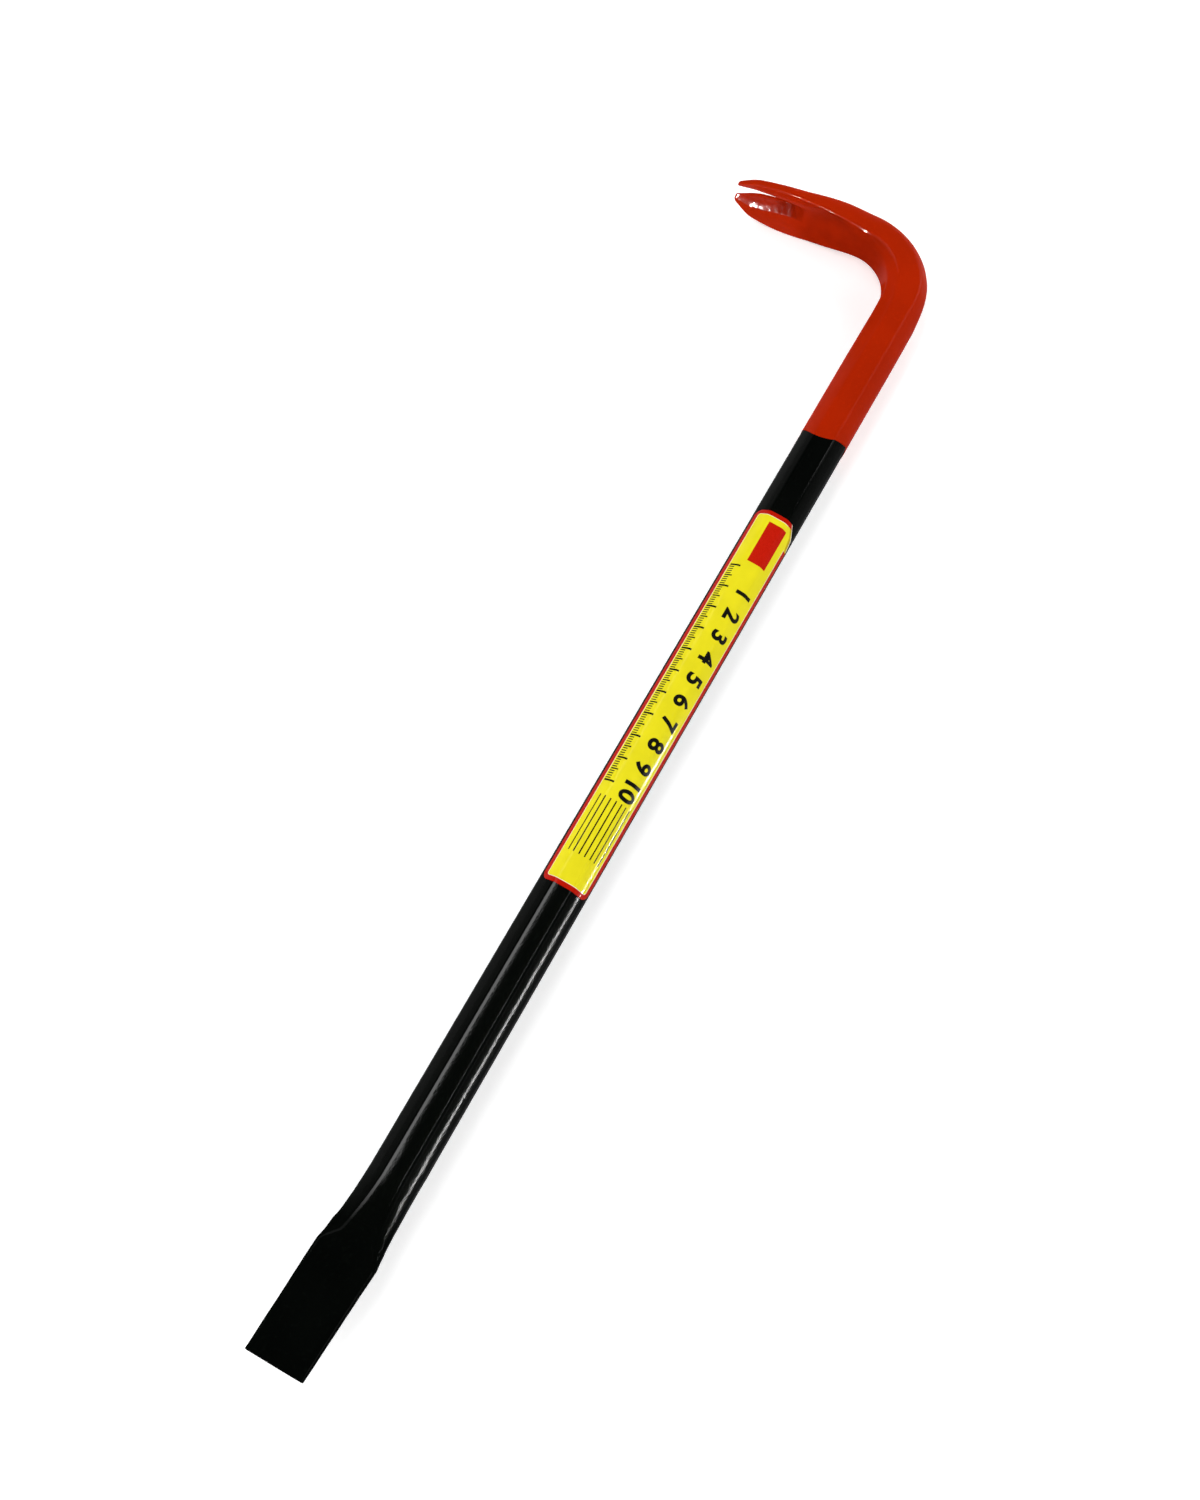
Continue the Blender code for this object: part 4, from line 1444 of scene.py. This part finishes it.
def studio_walls():
    """World that is pale near the floor and dark overhead."""
    world = bpy.data.worlds.new("studio_walls")
    world.use_nodes = True
    tree = world.node_tree
    back = tree.nodes["Background"]
    direction = add_node(tree, "ShaderNodeSeparateXYZ")
    tree.links.new(add_node(tree, "ShaderNodeTexCoord").outputs["Generated"], direction.inputs[0])
    height = between(tree, direction.outputs["Z"], *WALL_RISE)
    tree.links.new(mixed(tree, height, WALL_PALE, WALL_DARK), back.inputs["Color"])
    back.inputs["Strength"].default_value = 1.0
    return world


class PRYBAR_OT_studio(bpy.types.Operator):
    """Set up the pale floor, the soft lamps and the camera"""

    bl_idname = "pry_bar.studio"
    bl_label = "Studio"

    def execute(self, context):
        look = context.scene.pry_bar_studio
        scene = context.scene
        floor_mesh = bmesh.new()
        bmesh.ops.create_grid(floor_mesh, x_segments=2, y_segments=2, size=FLOOR_HALF)
        floor = new_mesh_object("floor", floor_mesh)
        floor.data.materials.append(floor_material(look))

        middle = Vector((0.0, SHAFT.y, SHAFT.z))
        for name, place, target, width, length, control, share in LAMPS:
            radiance = share * getattr(look, control)
            lamp = soft_lamp(name, middle + Vector(place), middle + Vector(target), width, length, radiance)
            lamp.visible_diffuse = control not in ONLY_MIRRORED
            if control == "claw":
                lamp.data.spread = CLAW_LAMP_SPREAD
        scene.world = studio_walls()

        camera_data = bpy.data.cameras.new("studio_camera")
        camera_data.lens = look.lens
        camera_data.sensor_fit = "AUTO"
        camera = bpy.data.objects.new("studio_camera", camera_data)
        scene.collection.objects.link(camera)
        camera.location = SHAFT + Vector(CAMERA_PLACE)
        camera.rotation_euler = CAMERA_TURN
        scene.camera = camera
        scene.view_settings.view_transform = "Standard"
        return {"FINISHED"}


class PRYBAR_PT_panel(bpy.types.Panel):
    """Pry bar pieces and their looks"""

    bl_idname = "PRYBAR_PT_panel"
    bl_label = "Pry bar"
    bl_space_type = "VIEW_3D"
    bl_region_type = "UI"
    bl_category = "Pry bar"

    def draw(self, context):
        scene = context.scene
        for group, operators in (
            (scene.pry_bar_paint, (PRYBAR_OT_black_forging, PRYBAR_OT_orange_coat)),
            (scene.pry_bar_label, (PRYBAR_OT_label_film, PRYBAR_OT_label_print)),
            (scene.pry_bar_studio, (PRYBAR_OT_studio,)),
        ):
            box = self.layout.box()
            for name in type(group).__annotations__:
                box.prop(group, name)
            for operator in operators:
                box.operator(operator.bl_idname)


CLASSES = (
    PaintLook,
    LabelLook,
    StudioLook,
    PRYBAR_OT_black_forging,
    PRYBAR_OT_orange_coat,
    PRYBAR_OT_label_film,
    PRYBAR_OT_label_print,
    PRYBAR_OT_studio,
    PRYBAR_PT_panel,
)
GROUPS = (("pry_bar_paint", PaintLook), ("pry_bar_label", LabelLook), ("pry_bar_studio", StudioLook))


def register():
    for kind in CLASSES:
        bpy.utils.register_class(kind)
    for name, kind in GROUPS:
        setattr(bpy.types.Scene, name, PointerProperty(type=kind))


def unregister():
    for name, kind in GROUPS:
        delattr(bpy.types.Scene, name)
    for kind in reversed(CLASSES):
        bpy.utils.unregister_class(kind)


def main():
    register()
    bpy.ops.pry_bar.black_forging()
    bpy.ops.pry_bar.orange_coat()
    bpy.ops.pry_bar.label_film()
    bpy.ops.pry_bar.label_print()
    bpy.ops.pry_bar.studio()


if __name__ == "__main__":
    main()
